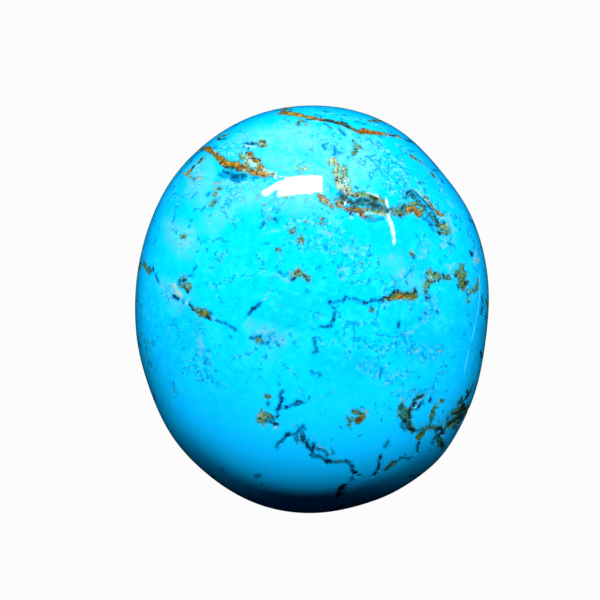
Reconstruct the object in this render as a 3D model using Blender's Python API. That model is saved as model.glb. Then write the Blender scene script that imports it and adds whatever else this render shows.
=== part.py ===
"""A polished turquoise cabochon: one oval stone with a flat ground back and a high dome.

The origin is the middle of the flat back. +Z points up through the dome, +Y along the stone.
"""

from math import asin, atan2, cos, degrees, exp, hypot, pi, radians, sin

import bmesh
import bpy
from mathutils import Vector, noise

MM = 0.001

# Driving sizes. The stone is cut for a setting of 16 x 14 mm.
LENGTH = 16.0 * MM  # along Y
WIDTH = 13.92 * MM  # along X
HEIGHT = 5.9 * MM
GIRDLE = 0.9 * MM  # height of the widest line above the back
BEVEL = 0.45 * MM  # how far the edge of the back lies inside the girdle

# Seen from above the outline is a slightly squared ellipse, and so is the dome seen from the side.
OUTLINE_POWER = 2.07
DOME_POWER = 2.5
BEVEL_POWER = 1.6

# Places where the hand-ground outline leaves the true oval: (direction, half width, depth).
# Directions are degrees from +X towards +Y. A negative depth is a bulge.
OUTLINE_FLATS = (
    (48, 13, 0.14 * MM),
    (348, 15, 0.10 * MM),
    (207, 13, 0.07 * MM),
    (238, 14, 0.07 * MM),
    (283, 10, 0.06 * MM),
    (311, 9, -0.08 * MM),
    (138, 12, -0.04 * MM),
)

# The polished dome isn't quite even: it swells and dips by this much, over about this distance.
WAVE_DEPTH = 0.035 * MM
WAVE_SPAN = 4.2 * MM

# Open pits in the polish: (x, y, radius). Each is bitten out by a ball pressed in by this share of
# its radius.
PITS = (
    (6.28 * MM, 2.08 * MM, 0.17 * MM),
    (-1.38 * MM, -4.48 * MM, 0.10 * MM),
    (3.98 * MM, -3.72 * MM, 0.13 * MM),
    (2.98 * MM, 6.02 * MM, 0.09 * MM),
)
PIT_DEPTH = 0.6
PIT_SUBDIVISIONS = 2

SEGMENTS = 96  # round the stone
DOME_RINGS = 33  # from the girdle to the top
BEVEL_RINGS = 6  # from the girdle to the back
SHARP_ANGLE = radians(35)  # edges sharper than this stay crisp when shaded


def clear_scene():
    for old in list(bpy.data.objects):
        bpy.data.objects.remove(old)


def outline_radius(angle):
    """Distance from the middle to the girdle in a direction given in radians."""
    across = abs(cos(angle)) / (WIDTH / 2)
    along = abs(sin(angle)) / (LENGTH / 2)
    radius = (across**OUTLINE_POWER + along**OUTLINE_POWER) ** (-1 / OUTLINE_POWER)
    for direction, half_width, depth in OUTLINE_FLATS:
        away = (degrees(angle) - direction + 180) % 360 - 180
        radius -= depth * exp(-((away / half_width) ** 2))
    return radius


def on_dome(angle, latitude):
    """Point of the dome, from the girdle at latitude 0 to the top at a quarter turn."""
    share = cos(latitude) ** (2 / DOME_POWER)
    rise = (HEIGHT - GIRDLE) * sin(latitude) ** (2 / DOME_POWER)
    radius = share * outline_radius(angle)
    return Vector((radius * cos(angle), radius * sin(angle), GIRDLE + rise))


def on_bevel(angle, turn):
    """Point of the rounded edge that tucks under, from the girdle (turn 0) to the back (a quarter)."""
    radius = outline_radius(angle) - BEVEL * (1 - abs(cos(turn)) ** (2 / BEVEL_POWER))
    drop = GIRDLE * sin(turn) ** (2 / BEVEL_POWER)
    return Vector((radius * cos(angle), radius * sin(angle), GIRDLE - drop))


def waved(point):
    """The point moved in or out by the slow unevenness of the polish, which fades out at the girdle."""
    strength = min(1, max(0, (point.z - GIRDLE) / (HEIGHT - GIRDLE)))
    swell = noise.noise(point / WAVE_SPAN)
    return point + point.normalized() * (WAVE_DEPTH * swell * strength)


def make_blank():
    """The stone without its pits: a sphere drawn out to the outline, domed above and cut flat below."""
    ball = bmesh.new()
    bmesh.ops.create_uvsphere(ball, u_segments=SEGMENTS, v_segments=2 * DOME_RINGS, radius=1)
    ring_step = pi / (2 * DOME_RINGS)
    cut = sin(-ring_step * (BEVEL_RINGS + 0.5))
    bmesh.ops.bisect_plane(
        ball,
        geom=ball.verts[:] + ball.edges[:] + ball.faces[:],
        plane_co=(0, 0, cut),
        plane_no=(0, 0, -1),
        clear_outer=True,
    )
    lowest = min(asin(vert.co.z) for vert in ball.verts)
    for vert in ball.verts:
        angle = atan2(vert.co.y, vert.co.x)
        latitude = atan2(vert.co.z, hypot(vert.co.x, vert.co.y))
        if latitude > 0:
            vert.co = waved(on_dome(angle, latitude))
        else:
            vert.co = on_bevel(angle, pi / 2 * min(1, latitude / lowest))
    rim = [edge for edge in ball.edges if edge.is_boundary]
    bmesh.ops.edgeloop_fill(ball, edges=rim)
    bmesh.ops.recalc_face_normals(ball, faces=ball.faces)
    mesh = bpy.data.meshes.new("turquoise_cabochon")
    ball.to_mesh(mesh)
    ball.free()
    return bpy.data.objects.new("turquoise_cabochon", mesh)


def dome_height(x, y):
    """Height of the dome above a point of the back."""
    share = hypot(x, y) / outline_radius(atan2(y, x))
    return GIRDLE + (HEIGHT - GIRDLE) * (1 - share**DOME_POWER) ** (1 / DOME_POWER)


def make_pit_cutter(number, x, y, radius):
    """A small ball that bites into the dome at x, y."""
    ball = bmesh.new()
    bmesh.ops.create_icosphere(ball, subdivisions=PIT_SUBDIVISIONS, radius=radius)
    mesh = bpy.data.meshes.new(f"pit_cutter_{number}")
    ball.to_mesh(mesh)
    ball.free()
    cutter = bpy.data.objects.new(f"pit_cutter_{number}", mesh)
    surface = Vector((x, y, dome_height(x, y)))
    cutter.location = surface + surface.normalized() * radius * (1 - PIT_DEPTH)
    cutter.hide_render = True
    cutter.display_type = "WIRE"
    return cutter


def make_material():
    """Polished turquoise: saturated sky blue with a glassy surface."""
    material = bpy.data.materials.new("polished_turquoise")
    material.use_nodes = True
    shader = material.node_tree.nodes["Principled BSDF"]
    shader.inputs["Base Color"].default_value = (0.004, 0.42, 0.76, 1)
    shader.inputs["Roughness"].default_value = 0.08
    shader.inputs["IOR"].default_value = 1.62
    return material


def main():
    clear_scene()
    parts = bpy.data.collections.new("turquoise_cabochon")
    cutters = bpy.data.collections.new("cutters")
    bpy.context.scene.collection.children.link(parts)
    bpy.context.scene.collection.children.link(cutters)

    stone = make_blank()
    stone.data.materials.append(make_material())
    parts.objects.link(stone)
    for number, (x, y, radius) in enumerate(PITS, start=1):
        cutter = make_pit_cutter(number, x, y, radius)
        cutters.objects.link(cutter)
        bite = stone.modifiers.new(f"pit_{number}", "BOOLEAN")
        bite.operation = "DIFFERENCE"
        bite.solver = "EXACT"
        bite.object = cutter
    stone.data.shade_smooth()
    stone.data.set_sharp_from_angle(angle=SHARP_ANGLE)


main()
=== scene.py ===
"""Looks of a polished turquoise cabochon: sky-blue stone with rusty matrix and dark spider-web veins.

Sizes are in millimetres, and strokes in hundredths of one, until a point is placed; the frame itself is in
metres. The stone lies on its flat back with its dome up (+Z) and its long side along Y.
"""

from math import cos, hypot, pi, radians, sin, tan

import bmesh
import bpy
import numpy as np
from mathutils import Matrix, Vector, noise


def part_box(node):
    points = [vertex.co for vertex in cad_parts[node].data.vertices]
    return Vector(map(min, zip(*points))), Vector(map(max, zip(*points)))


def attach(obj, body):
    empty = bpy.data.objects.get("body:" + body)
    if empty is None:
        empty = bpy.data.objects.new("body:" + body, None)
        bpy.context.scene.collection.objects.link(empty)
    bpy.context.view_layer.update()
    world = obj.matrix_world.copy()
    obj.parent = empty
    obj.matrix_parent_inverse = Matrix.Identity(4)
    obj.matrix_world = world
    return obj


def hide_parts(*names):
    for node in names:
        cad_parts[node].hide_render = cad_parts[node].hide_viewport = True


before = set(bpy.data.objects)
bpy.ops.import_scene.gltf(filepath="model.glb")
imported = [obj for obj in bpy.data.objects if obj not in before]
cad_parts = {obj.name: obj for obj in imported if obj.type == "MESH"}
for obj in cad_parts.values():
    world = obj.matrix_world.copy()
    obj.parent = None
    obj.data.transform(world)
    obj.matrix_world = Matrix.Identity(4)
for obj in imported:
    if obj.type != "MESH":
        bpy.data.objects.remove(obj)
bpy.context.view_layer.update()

MM = 0.001

# ---- The shape of the stone, as it is cut ----

LENGTH = 16.0
WIDTH = 13.92
HEIGHT = 5.9
GIRDLE = 0.9  # height of the widest line above the back
BEVEL = 0.45  # how far the edge of the back lies inside the girdle
OUTLINE_POWER = 2.07
DOME_POWER = 2.5
BEVEL_POWER = 1.6
BACK_EDGE = radians(-18)  # latitude of the modelling ball that becomes the edge of the back

# Places where the ground outline leaves the true oval: (direction in degrees, half width, depth).
OUTLINE_FLATS = (
    (48, 13, 0.14),
    (348, 15, 0.10),
    (207, 13, 0.07),
    (238, 14, 0.07),
    (283, 10, 0.06),
    (311, 9, -0.08),
    (138, 12, -0.04),
)
WAVE_DEPTH = 0.035  # slow unevenness of the polish
WAVE_SPAN = 4.2
PITS = ((6.28, 2.08, 0.17), (-1.38, -4.48, 0.10), (3.98, -3.72, 0.13), (2.98, 6.02, 0.09))  # (x, y, radius)
PIT_DEPTH = 0.6  # share of a pit's radius that is bitten into the stone

# ---- Markings ----

# What is drawn on the stone, by kind. Each stroke is a line of (x, y, half width) seen from above, in
# hundredths of a millimetre. A long seam is several strokes laid end to end.
STROKE_UNITS_PER_MM = 100
MARKINGS = {
    # Clouded, milky ground, and a painted sheen in the upper part near the window's highlight: very soft,
    # wide patches.
    "milk_and_sheen": (
        ((-320, 460, 50), (-200, 440, 50), (50, 420, 50)), ((-400, 340, 30), (-340, 380, 30)),
        ((-250, 660, 60), (-80, 680, 80), (60, 630, 90), (160, 540, 90), (220, 640, 50)),
        ((-180, 590, 50), (-20, 560, 60)), ((-460, 550, 40), (-440, 460, 50)),
        ((-560, 320, 30), (-490, 260, 40)), ((-550, 80, 30), (-510, 50, 30)),
        ((300, 200, 10), (350, 140, 20), (390, 100, 10)), ((-220, -90, 20), (-140, -120, 30)),
    ),
    # Ground broken by a fine web of cracks.
    "web": (
        ((-410, 600, 15), (-350, 630, 35), (-290, 620, 35), (-260, 670, 20)),
        ((-460, 580, 15), (-450, 520, 20), (-450, 450, 15)),
        ((-370, 490, 20), (-380, 430, 15), (-420, 390, 10)),
        ((-350, 500, 20), (-270, 490, 25), (-220, 510, 15)),
        ((30, 640, 20), (90, 620, 25), (70, 560, 25), (90, 490, 25)),
        ((120, 710, 15), (180, 670, 20), (240, 650, 35), (290, 600, 35), (300, 540, 35), (310, 480, 35)),
        ((340, 580, 20), (360, 510, 30), (350, 450, 25)),
        ((40, 770, 10), (120, 750, 15), (200, 740, 15), (290, 710, 10)),
        ((350, 630, 15), (430, 570, 15), (480, 520, 20), (510, 470, 15)),
        ((120, 430, 20), (200, 420, 20), (260, 410, 20)),
        ((430, 460, 20), (460, 370, 30), (510, 330, 40), (530, 270, 35), (540, 220, 20)),
        ((450, 260, 15), (430, 210, 20), (400, 170, 15), (360, 130, 20), (330, 90, 15)),
        ((440, 130, 25), (520, 140, 25), (580, 130, 25), (620, 80, 20)),
        ((440, 60, 15), (460, 10, 25), (440, -30, 15), (400, -70, 12), (370, -110, 10)),
        ((360, -120, 10), (390, -160, 20), (450, -170, 25), (500, -160, 20)),
        ((-560, 90, 20), (-520, 60, 25), (-480, 30, 15)),
        ((-440, -50, 15), (-450, -120, 25), (-420, -180, 25), (-400, -230, 20)),
        ((-220, -90, 15), (-170, -110, 30), (-120, -130, 20)),
        ((-120, 430, 25), (-170, 380, 25), (-180, 330, 25)), ((-90, 320, 15), (-50, 280, 20)),
        ((-90, 130, 15), (-40, 140, 20)),
        ((180, -220, 20), (250, -240, 30), (310, -270, 20), (360, -250, 20)),
        ((190, 260, 15), (220, 220, 20), (190, 180, 15)),
        ((-50, -460, 20), (-40, -500, 25), (10, -530, 25), (50, -560, 20)),
        ((350, -340, 20), (420, -330, 25), (470, -320, 20)),
        ((350, -400, 20), (370, -450, 20), (460, -450, 20), (540, -420, 30), (590, -360, 25)),
        ((-80, 340, 25), (20, 340, 35), (100, 300, 35), (160, 240, 45), (190, 190, 35), (120, 140, 20)),
        ((-90, 260, 25), (30, 250, 30), (90, 220, 20)),
    ),
    # Rusty limonite, orange-brown.
    "rust": (
        ((170, 699, 7), (185, 694, 8), (198, 694, 10), (210, 697, 14), (222, 695, 10)),
        ((245, 690, 8), (262, 687, 7)), ((295, 685, 4), (305, 680, 5), (312, 678, 3)),
        ((-38, 755, 6), (-30, 753, 5)), ((5, 746, 5), (22, 746, 6)), ((-413, 631, 5), (-403, 627, 3)),
        ((-352, 578, 2), (-340, 570, 3), (-320, 564, 2)), ((-300, 560, 2), (-286, 555, 4), (-278, 548, 2)),
        ((-244, 542, 2), (-232, 535, 3), (-215, 531, 3), (-200, 527, 3), (-175, 522, 3)),
        ((-142, 512, 5), (-132, 513, 3)), ((-240, 600, 2), (-232, 588, 3)),
        ((-206, 554, 3), (-200, 544, 2)), ((-482, 538, 5), (-478, 540, 4)), ((72, 406, 3), (78, 398, 3)),
        ((130, 393, 5), (140, 390, 6), (150, 388, 5), (160, 390, 4), (172, 388, 6)),
        ((172, 388, 6), (185, 383, 6), (193, 374, 8), (193, 365, 6), (198, 358, 3)),
        ((128, 465, 4), (138, 452, 6), (143, 445, 3)), ((150, 463, 3), (158, 455, 3)),
        ((400, 393, 7), (407, 383, 10), (413, 370, 6)), ((488, 379, 5), (498, 373, 5)),
        ((300, 40, 3), (320, 47, 4), (340, 48, 6), (350, 48, 4)), ((360, 52, 4), (365, 52, 5)),
        ((385, 47, 5), (392, 42, 5)), ((192, -420, 6), (185, -428, 8), (177, -436, 8), (172, -440, 3)),
        ((-63, 137, 5), (-61, 140, 4)), ((136, -592, 3), (139, -592, 2)),
        ((582, -387, 6), (588, -385, 10), (598, -388, 7)), ((505, -480, 7), (515, -492, 5)),
        ((585, -390, 8), (598, -386, 6)), ((560, -452, 6), (578, -442, 5)),
        ((-12, 751, 3), (10, 748, 4), (35, 744, 3)),
        ((315, 58, 2), (345, 64, 2), (375, 60, 2), (402, 60, 2)),
    ),
    # Yellow-brown skin round the rust, and thin seams of the same.
    "ochre": (
        ((-110, 770, 5), (-92, 765, 8), (-75, 768, 7), (-60, 766, 6), (-48, 762, 6)),
        ((-48, 762, 6), (-38, 755, 7), (-25, 752, 5), (-10, 748, 6), (8, 746, 7)),
        ((8, 746, 7), (22, 746, 7), (33, 744, 4)),
        ((185, 694, 9), (210, 697, 16), (235, 692, 7), (250, 690, 11), (262, 687, 8)),
        ((262, 687, 8), (272, 687, 5), (285, 688, 5), (295, 685, 5), (312, 679, 5)),
        ((333, 677, 6), (342, 674, 5), (350, 671, 3)), ((-422, 631, 7), (-413, 631, 10), (-398, 624, 7)),
        ((-368, 590, 5), (-358, 588, 8), (-347, 574, 14), (-336, 570, 14), (-320, 566, 10)),
        ((-320, 566, 10), (-305, 564, 10), (-290, 561, 11), (-282, 555, 12), (-278, 548, 7)),
        ((-252, 610, 6), (-242, 610, 7), (-238, 598, 7), (-232, 590, 6), (-222, 580, 7)),
        ((-222, 580, 7), (-212, 580, 7), (-205, 580, 5)),
        ((-262, 568, 4), (-252, 556, 5), (-244, 542, 9), (-232, 533, 11), (-215, 533, 10)),
        ((-215, 533, 10), (-200, 530, 9), (-185, 526, 8), (-170, 524, 6)),
        ((-208, 556, 9), (-202, 548, 6), (-195, 538, 6)),
        ((-212, 650, 3), (-202, 656, 3), (-193, 653, 3), (-188, 646, 3), (-185, 638, 3)),
        ((-185, 638, 3), (-193, 638, 3), (-205, 642, 3)), ((-486, 536, 8), (-479, 542, 9)),
        ((-440, 580, 4), (-436, 585, 4)), ((-382, 450, 4), (-378, 450, 4)),
        ((95, 420, 5), (100, 412, 8), (105, 400, 6), (115, 400, 4)),
        ((130, 393, 6), (150, 392, 8), (172, 390, 9), (190, 380, 9), (195, 365, 7)),
        ((205, 394, 5), (214, 392, 5)), ((368, 382, 6), (378, 395, 10), (382, 385, 8)),
        ((398, 397, 9), (408, 382, 13), (415, 368, 8)), ((458, 410, 3), (464, 406, 4)),
        ((480, 384, 5), (488, 379, 7), (500, 372, 6)),
        ((290, 40, 5), (305, 45, 6), (320, 50, 9), (335, 53, 12), (350, 52, 10)),
        ((350, 52, 10), (365, 55, 9), (380, 52, 9), (392, 52, 12), (405, 55, 6)),
        ((592, 106, 6), (592, 88, 5)), ((-438, -12, 6), (-425, -14, 9), (-412, -15, 7)),
        ((-178, -338, 4), (-174, -339, 5)),
        ((162, -397, 5), (172, -402, 6), (185, -408, 7), (195, -412, 6), (192, -420, 8)),
        ((192, -420, 8), (185, -428, 10), (177, -436, 10), (170, -442, 4)),
        ((469, -400, 5), (467, -410, 5)), ((422, -493, 8), (415, -502, 6)),
        ((320, -598, 4), (310, -603, 4)), ((385, 600, 3), (395, 595, 4), (405, 588, 2)),
        ((420, 578, 2), (430, 570, 3)), ((183, 634, 4), (187, 631, 4)), ((-49, 267, 5), (-45, 269, 5)),
        ((-66, 138, 7), (-60, 143, 7)),
        ((-120, 766, 5), (-90, 762, 6), (-60, 760, 6), (-30, 756, 6), (5, 750, 6)),
        ((30, 743, 6), (70, 736, 5), (110, 728, 6), (135, 717, 6), (165, 702, 7)),
        ((-405, 622, 6), (-385, 608, 5), (-365, 593, 7)), ((583, 103, 7), (595, 102, 7), (607, 106, 4)),
        ((586, 84, 6), (592, 78, 5)), ((520, -466, 5), (550, -445, 6), (580, -415, 5)),
        ((414, -502, 7), (422, -492, 10), (432, -485, 5)), ((-436, -12, 3), (-422, -18, 5), (-408, -22, 3)),
        ((25, 446, 4), (35, 438, 7), (48, 430, 6), (60, 422, 5), (78, 400, 4)),
    ),
    # Green-brown matrix: turquoise stained by iron.
    "olive": (
        ((-118, 771, 7), (-100, 768, 9), (-75, 768, 10), (-50, 763, 8)),
        ((-45, 742, 4), (-52, 732, 5), (-55, 722, 3)), ((-37, 734, 4), (-32, 732, 3)),
        ((-324, 566, 12), (-302, 564, 12)), ((-282, 604, 4), (-274, 594, 3), (-270, 584, 3)),
        ((-368, 673, 3), (-355, 678, 5), (-340, 680, 5), (-333, 685, 4)), ((-442, 578, 5), (-432, 590, 5)),
        ((-362, 474, 5), (-357, 470, 5)), ((-380, 422, 5), (-385, 416, 6), (-393, 407, 3)),
        ((-508, 285, 5), (-498, 288, 5), (-490, 290, 3)), ((-172, 352, 5), (-167, 355, 5)),
        ((38, 352, 5), (35, 342, 6)), ((-84, 301, 6), (-72, 305, 4), (-65, 315, 3)),
        ((-50, 266, 6), (-44, 270, 6)), ((-134, 232, 5), (-130, 235, 4)), ((-70, 136, 8), (-56, 146, 8)),
        ((128, 560, 3), (125, 545, 5), (125, 530, 3), (130, 520, 3)),
        ((162, 655, 3), (170, 642, 6), (172, 630, 7), (162, 612, 5)),
        ((210, 440, 5), (225, 440, 7), (238, 437, 5)),
        ((210, 392, 6), (225, 390, 5), (240, 385, 6), (255, 385, 5), (268, 383, 9)),
        ((268, 383, 9), (280, 378, 6), (295, 372, 5), (300, 368, 3)),
        ((200, 359, 4), (215, 362, 4), (230, 360, 3), (237, 357, 2)), ((320, 385, 7), (335, 390, 6)),
        ((320, 372, 4), (340, 368, 5), (355, 372, 5), (365, 378, 6), (370, 385, 9)),
        ((370, 385, 9), (378, 395, 12), (385, 410, 7), (400, 415, 5), (415, 410, 5)),
        ((415, 410, 5), (425, 400, 6), (427, 385, 5), (420, 365, 4)), ((474, 392, 4), (482, 385, 5)),
        ((528, 312, 6), (532, 312, 6)), ((465, 528, 4), (473, 520, 6)), ((385, 220, 3), (390, 212, 4)),
        ((458, 150, 4), (465, 142, 5), (475, 138, 6), (485, 137, 5), (495, 133, 6)),
        ((495, 133, 6), (500, 125, 6), (497, 115, 5)),
        ((475, 115, 4), (460, 108, 6), (450, 102, 5), (447, 90, 4), (442, 80, 4)),
        ((442, 80, 4), (440, 72, 4), (438, 62, 4)), ((522, 126, 5), (535, 120, 4)),
        ((590, 170, 4), (585, 158, 6), (575, 145, 6), (580, 125, 7), (592, 105, 9)),
        ((592, 105, 9), (592, 90, 8), (590, 80, 7)),
        ((632, 76, 6), (642, 88, 7), (645, 100, 5), (645, 115, 3)), ((605, 36, 4), (610, 32, 4)),
        ((227, -2, 4), (232, -4, 4)), ((-660, 182, 3), (-648, 163, 7), (-638, 150, 9)),
        ((-510, 120, 6), (-500, 124, 6)), ((-515, 95, 6), (-495, 90, 10), (-482, 92, 8), (-485, 75, 6)),
        ((-462, 2, 5), (-448, -5, 8), (-435, -13, 10), (-420, -15, 10)),
        ((-35, 142, 4), (-28, 135, 7), (-20, 125, 7), (-17, 118, 4)), ((-214, -119, 7), (-205, -122, 7)),
        ((-190, -410, 6), (-180, -405, 5), (-165, -415, 5), (-160, -420, 5)),
        ((-207, -430, 6), (-195, -433, 7), (-185, -430, 6)),
        ((145, -422, 6), (142, -440, 6), (140, -448, 3)), ((95, -590, 4), (110, -593, 4)),
        ((360, -385, 4), (358, -405, 5), (360, -415, 4)),
        ((382, -375, 4), (385, -385, 5), (380, -395, 5), (378, -410, 5), (375, -420, 4)),
        ((502, -356, 5), (508, -354, 5)), ((480, -380, 7), (470, -390, 5), (468, -405, 7), (465, -420, 4)),
        ((545, -405, 6), (560, -395, 7), (575, -388, 9), (592, -384, 11)),
        ((560, -420, 8), (550, -435, 8), (535, -445, 6)),
        ((322, -596, 4), (315, -600, 6), (305, -607, 5), (295, -613, 5), (285, -622, 4)),
        ((420, -490, 10), (413, -505, 8)), ((-130, 772, 5), (-95, 772, 7), (-60, 766, 6)),
        ((562, 140, 9), (580, 138, 14), (597, 136, 8)), ((578, 112, 14), (588, 86, 12)),
        ((580, 168, 5), (584, 152, 8)), ((620, 74, 6), (634, 80, 8), (644, 96, 6)),
        ((452, 142, 6), (472, 136, 10), (495, 126, 10)), ((448, 125, 5), (442, 100, 5), (438, 72, 4)),
        ((492, 330, 8), (514, 320, 12), (530, 308, 8)), ((498, 302, 5), (516, 297, 6), (524, 292, 4)),
        ((520, -462, 7), (545, -442, 12), (570, -425, 12), (590, -405, 10)),
        ((545, -405, 6), (565, -397, 10), (590, -390, 13)),
        ((430, -470, 5), (450, -460, 6), (480, -463, 6), (502, -460, 6)),
        ((352, -386, 4), (356, -410, 6), (362, -430, 5)), ((495, -520, 8), (510, -532, 6)),
        ((550, -452, 8), (566, -460, 8)),
        ((162, 452, 6), (195, 450, 6), (225, 438, 7), (262, 428, 5), (288, 402, 4)),
        ((280, 40, 2), (310, 50, 3), (330, 64, 3), (360, 64, 3), (405, 66, 2)),
        ((30, 430, 4), (50, 418, 5), (70, 412, 4)), ((85, 428, 5), (105, 422, 6), (120, 408, 4)),
        ((305, 375, 4), (335, 370, 5), (360, 380, 7)),
    ),
    # Brown-beige clay and pinkish stains, and one painted reflection: the pinkish fringe at the upper edge
    # of the window's highlight.
    "beige": (
        ((-270, 566, 3), (-266, 555, 7), (-262, 546, 10), (-258, 540, 8)),
        ((-390, 618, 6), (-385, 614, 7), (-372, 605, 4)),
        # Painted reflection: this stroke is the pinkish fringe at the upper edge of the window's highlight.
        ((-57, 562, 4), (-50, 550, 3), (-40, 548, 4), (-25, 551, 5)),
        ((80, 590, 6), (75, 578, 8), (68, 568, 6), (85, 572, 7), (92, 560, 6)),
        ((92, 550, 7), (90, 535, 8), (88, 522, 6), (95, 510, 7), (98, 495, 9)),
        ((98, 495, 9), (102, 480, 9), (112, 460, 6)), ((118, 495, 3), (120, 480, 3), (128, 465, 4)),
        ((143, 505, 2), (145, 490, 2)), ((408, 462, 4), (413, 460, 3)), ((518, 330, 3), (522, 326, 3)),
        ((-108, 440, 5), (-102, 440, 5)), ((-190, 408, 4), (-186, 409, 4)), ((-27, 340, 4), (-22, 341, 4)),
        ((195, 190, 3), (192, 180, 4), (187, 177, 3)), ((-360, 495, 3), (-383, 492, 4), (-380, 465, 3)),
        ((-428, 596, 3), (-428, 588, 3)), ((208, -394, 5), (213, -396, 5)),
        ((492, -162, 4), (498, -164, 4)), ((-78, 130, 5), (-76, 146, 5), (-62, 156, 5), (-49, 150, 4)),
        ((-506, 534, 3), (-460, 508, 3), (-430, 513, 3)), ((-26, 722, 4), (-22, 722, 4)),
        ((86, 586, 6), (98, 550, 10), (100, 515, 10), (110, 480, 10), (125, 452, 8)),
        ((124, 552, 5), (120, 522, 6), (130, 500, 9), (134, 478, 8), (150, 455, 6)),
        ((140, 448, 6), (180, 444, 5), (220, 446, 6), (255, 438, 7), (280, 412, 5)),
        ((210, 374, 5), (250, 376, 6), (295, 370, 5)),
        ((388, 472, 3), (410, 462, 4), (440, 432, 5), (466, 405, 5), (492, 378, 5)),
        ((-245, 602, 10), (-242, 582, 16), (-218, 560, 16), (-185, 542, 12), (-150, 526, 7)),
        ((-272, 602, 4), (-262, 585, 8), (-260, 568, 8)), ((455, 130, 7), (475, 124, 5)),
        ((520, 326, 6), (530, 336, 4)), ((570, 128, 5), (590, 130, 6)),
        ((-195, -390, 4), (-205, -415, 9), (-180, -420, 10), (-162, -412, 6)),
        ((-210, -435, 7), (-195, -430, 6)),
    ),
    # Chalky, bleached turquoise and clay beside the seams, and painted highlights on the rims of pits.
    "chalk": (
        ((230, 693, 4), (238, 691, 4)), ((272, 679, 2), (295, 673, 3)), ((330, 670, 2), (350, 665, 2)),
        ((0, 736, 2), (30, 737, 2)), ((-255, 595, 4), (-245, 580, 8), (-235, 566, 9), (-225, 560, 6)),
        ((-200, 547, 4), (-188, 544, 5), (-175, 540, 5), (-162, 538, 5), (-145, 533, 4)),
        ((-270, 640, 3), (-250, 637, 4), (-230, 635, 5), (-220, 636, 3)), ((-199, 648, 5), (-195, 647, 5)),
        ((-342, 686, 3), (-333, 688, 3)), ((-478, 549, 3), (-472, 546, 3)),
        ((132, 510, 5), (132, 498, 8), (132, 485, 6)), ((30, 448, 5), (38, 442, 6)),
        ((210, 450, 4), (230, 452, 4), (250, 448, 5), (260, 435, 5), (255, 425, 4)),
        ((255, 425, 4), (230, 429, 4)), ((200, 410, 4), (208, 416, 4), (215, 414, 4)),
        ((265, 403, 5), (275, 397, 4)), ((175, 372, 5), (179, 372, 5)), ((150, 358, 5), (154, 358, 5)),
        ((205, 369, 4), (220, 375, 4), (250, 373, 3), (290, 366, 3)), ((280, 437, 4), (284, 437, 4)),
        ((390, 380, 4), (392, 372, 3)), ((348, 405, 3), (350, 405, 3)),
        ((395, 469, 3), (410, 462, 5), (420, 450, 3), (435, 435, 3), (450, 419, 3)),
        ((450, 419, 3), (462, 409, 4), (472, 398, 4)), ((492, 364, 4), (492, 360, 4)),
        ((500, 355, 3), (515, 355, 5)), ((293, 619, 5), (298, 617, 5)), ((342, 572, 5), (345, 570, 5)),
        # Painted highlight: the second stroke here and the first on the next line are part of the bright
        # rim of the pit at (6.28, 2.08).
        ((386, 225, 3), (393, 220, 2)), ((652, 202, 4), (652, 192, 6), (642, 185, 7), (630, 188, 4)),
        ((633, 230, 3), (642, 220, 3)), ((636, 176, 3), (635, 170, 3)),
        ((462, 133, 5), (452, 125, 6), (478, 132, 3)), ((605, 85, 4), (608, 64, 5)),
        ((690, 66, 3), (690, 62, 2)), ((-664, 225, 3), (-660, 224, 3)),
        ((-540, 95, 7), (-535, 80, 9), (-525, 65, 11), (-515, 55, 8)), ((-491, 23, 4), (-487, 21, 4)),
        # Painted highlight: the second stroke here is the bright speck in the pit at (-1.38, -4.48).
        ((-484, 42, 3), (-480, 38, 3)), ((-138, -442, 3), (-143, -460, 5), (-147, -462, 5)),
        ((28, -542, 3), (36, -540, 3)), ((48, -562, 3), (54, -564, 3)), ((430, -345, 3), (408, -358, 3)),
        # Painted highlight: the first stroke here is the glint in the pit at (3.98, -3.72).
        ((407, -372, 4), (409, -368, 4)), ((494, -362, 4), (496, -358, 4)),
        # Painted highlight: the second stroke here is part of the bright rim of the pit at (6.28, 2.08).
        ((-386, 622, 5), (-378, 612, 5)), ((630, 195, 4), (638, 200, 6), (641, 212, 4)),
    ),
    # Black dendrites: manganese oxide, blue-black to brown-black; a few strokes are painted shade inside
    # pits.
    "dark": (
        ((-140, 780, 2), (-120, 782, 3), (-100, 783, 3), (-80, 782, 3)),
        ((42, 741, 2), (50, 740, 4), (68, 736, 5), (90, 732, 5), (105, 727, 5)),
        ((105, 727, 5), (120, 724, 5), (132, 720, 5), (142, 712, 5), (155, 706, 5)),
        ((155, 706, 5), (170, 702, 5), (182, 700, 3)), ((110, 734, 3), (120, 732, 3), (133, 727, 4)),
        ((312, 679, 2), (325, 680, 3)), ((360, 666, 2), (372, 660, 3), (385, 658, 4), (395, 655, 3)),
        ((-20, 742, 3), (-5, 743, 2)),
        ((-272, 648, 2), (-255, 648, 3), (-242, 649, 5), (-228, 648, 4), (-215, 647, 2)),
        ((-272, 635, 3), (-268, 635, 2)), ((-370, 668, 2), (-355, 666, 2), (-342, 668, 2)),
        ((-450, 610, 3), (-435, 620, 4), (-428, 634, 4), (-415, 642, 4), (-400, 652, 3)),
        ((-474, 580, 5), (-470, 583, 4)), ((-470, 552, 3), (-464, 560, 3)),
        ((-157, 519, 4), (-152, 517, 3)), ((115, 435, 6), (128, 430, 6), (122, 422, 4), (120, 415, 5)),
        ((155, 445, 3), (168, 442, 3), (182, 442, 2)), ((235, 438, 3), (250, 433, 3), (255, 430, 2)),
        ((150, 412, 4), (165, 415, 4)), ((238, 412, 4), (245, 400, 6), (240, 393, 4)),
        ((150, 374, 6), (158, 370, 4)), ((170, 476, 3), (173, 474, 3)), ((156, 395, 4), (162, 396, 5)),
        ((340, 367, 3), (355, 370, 3)), ((483, 350, 4), (488, 340, 6), (480, 330, 5)),
        ((510, 345, 3), (517, 333, 3)), ((490, 302, 4), (498, 295, 4)),
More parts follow.
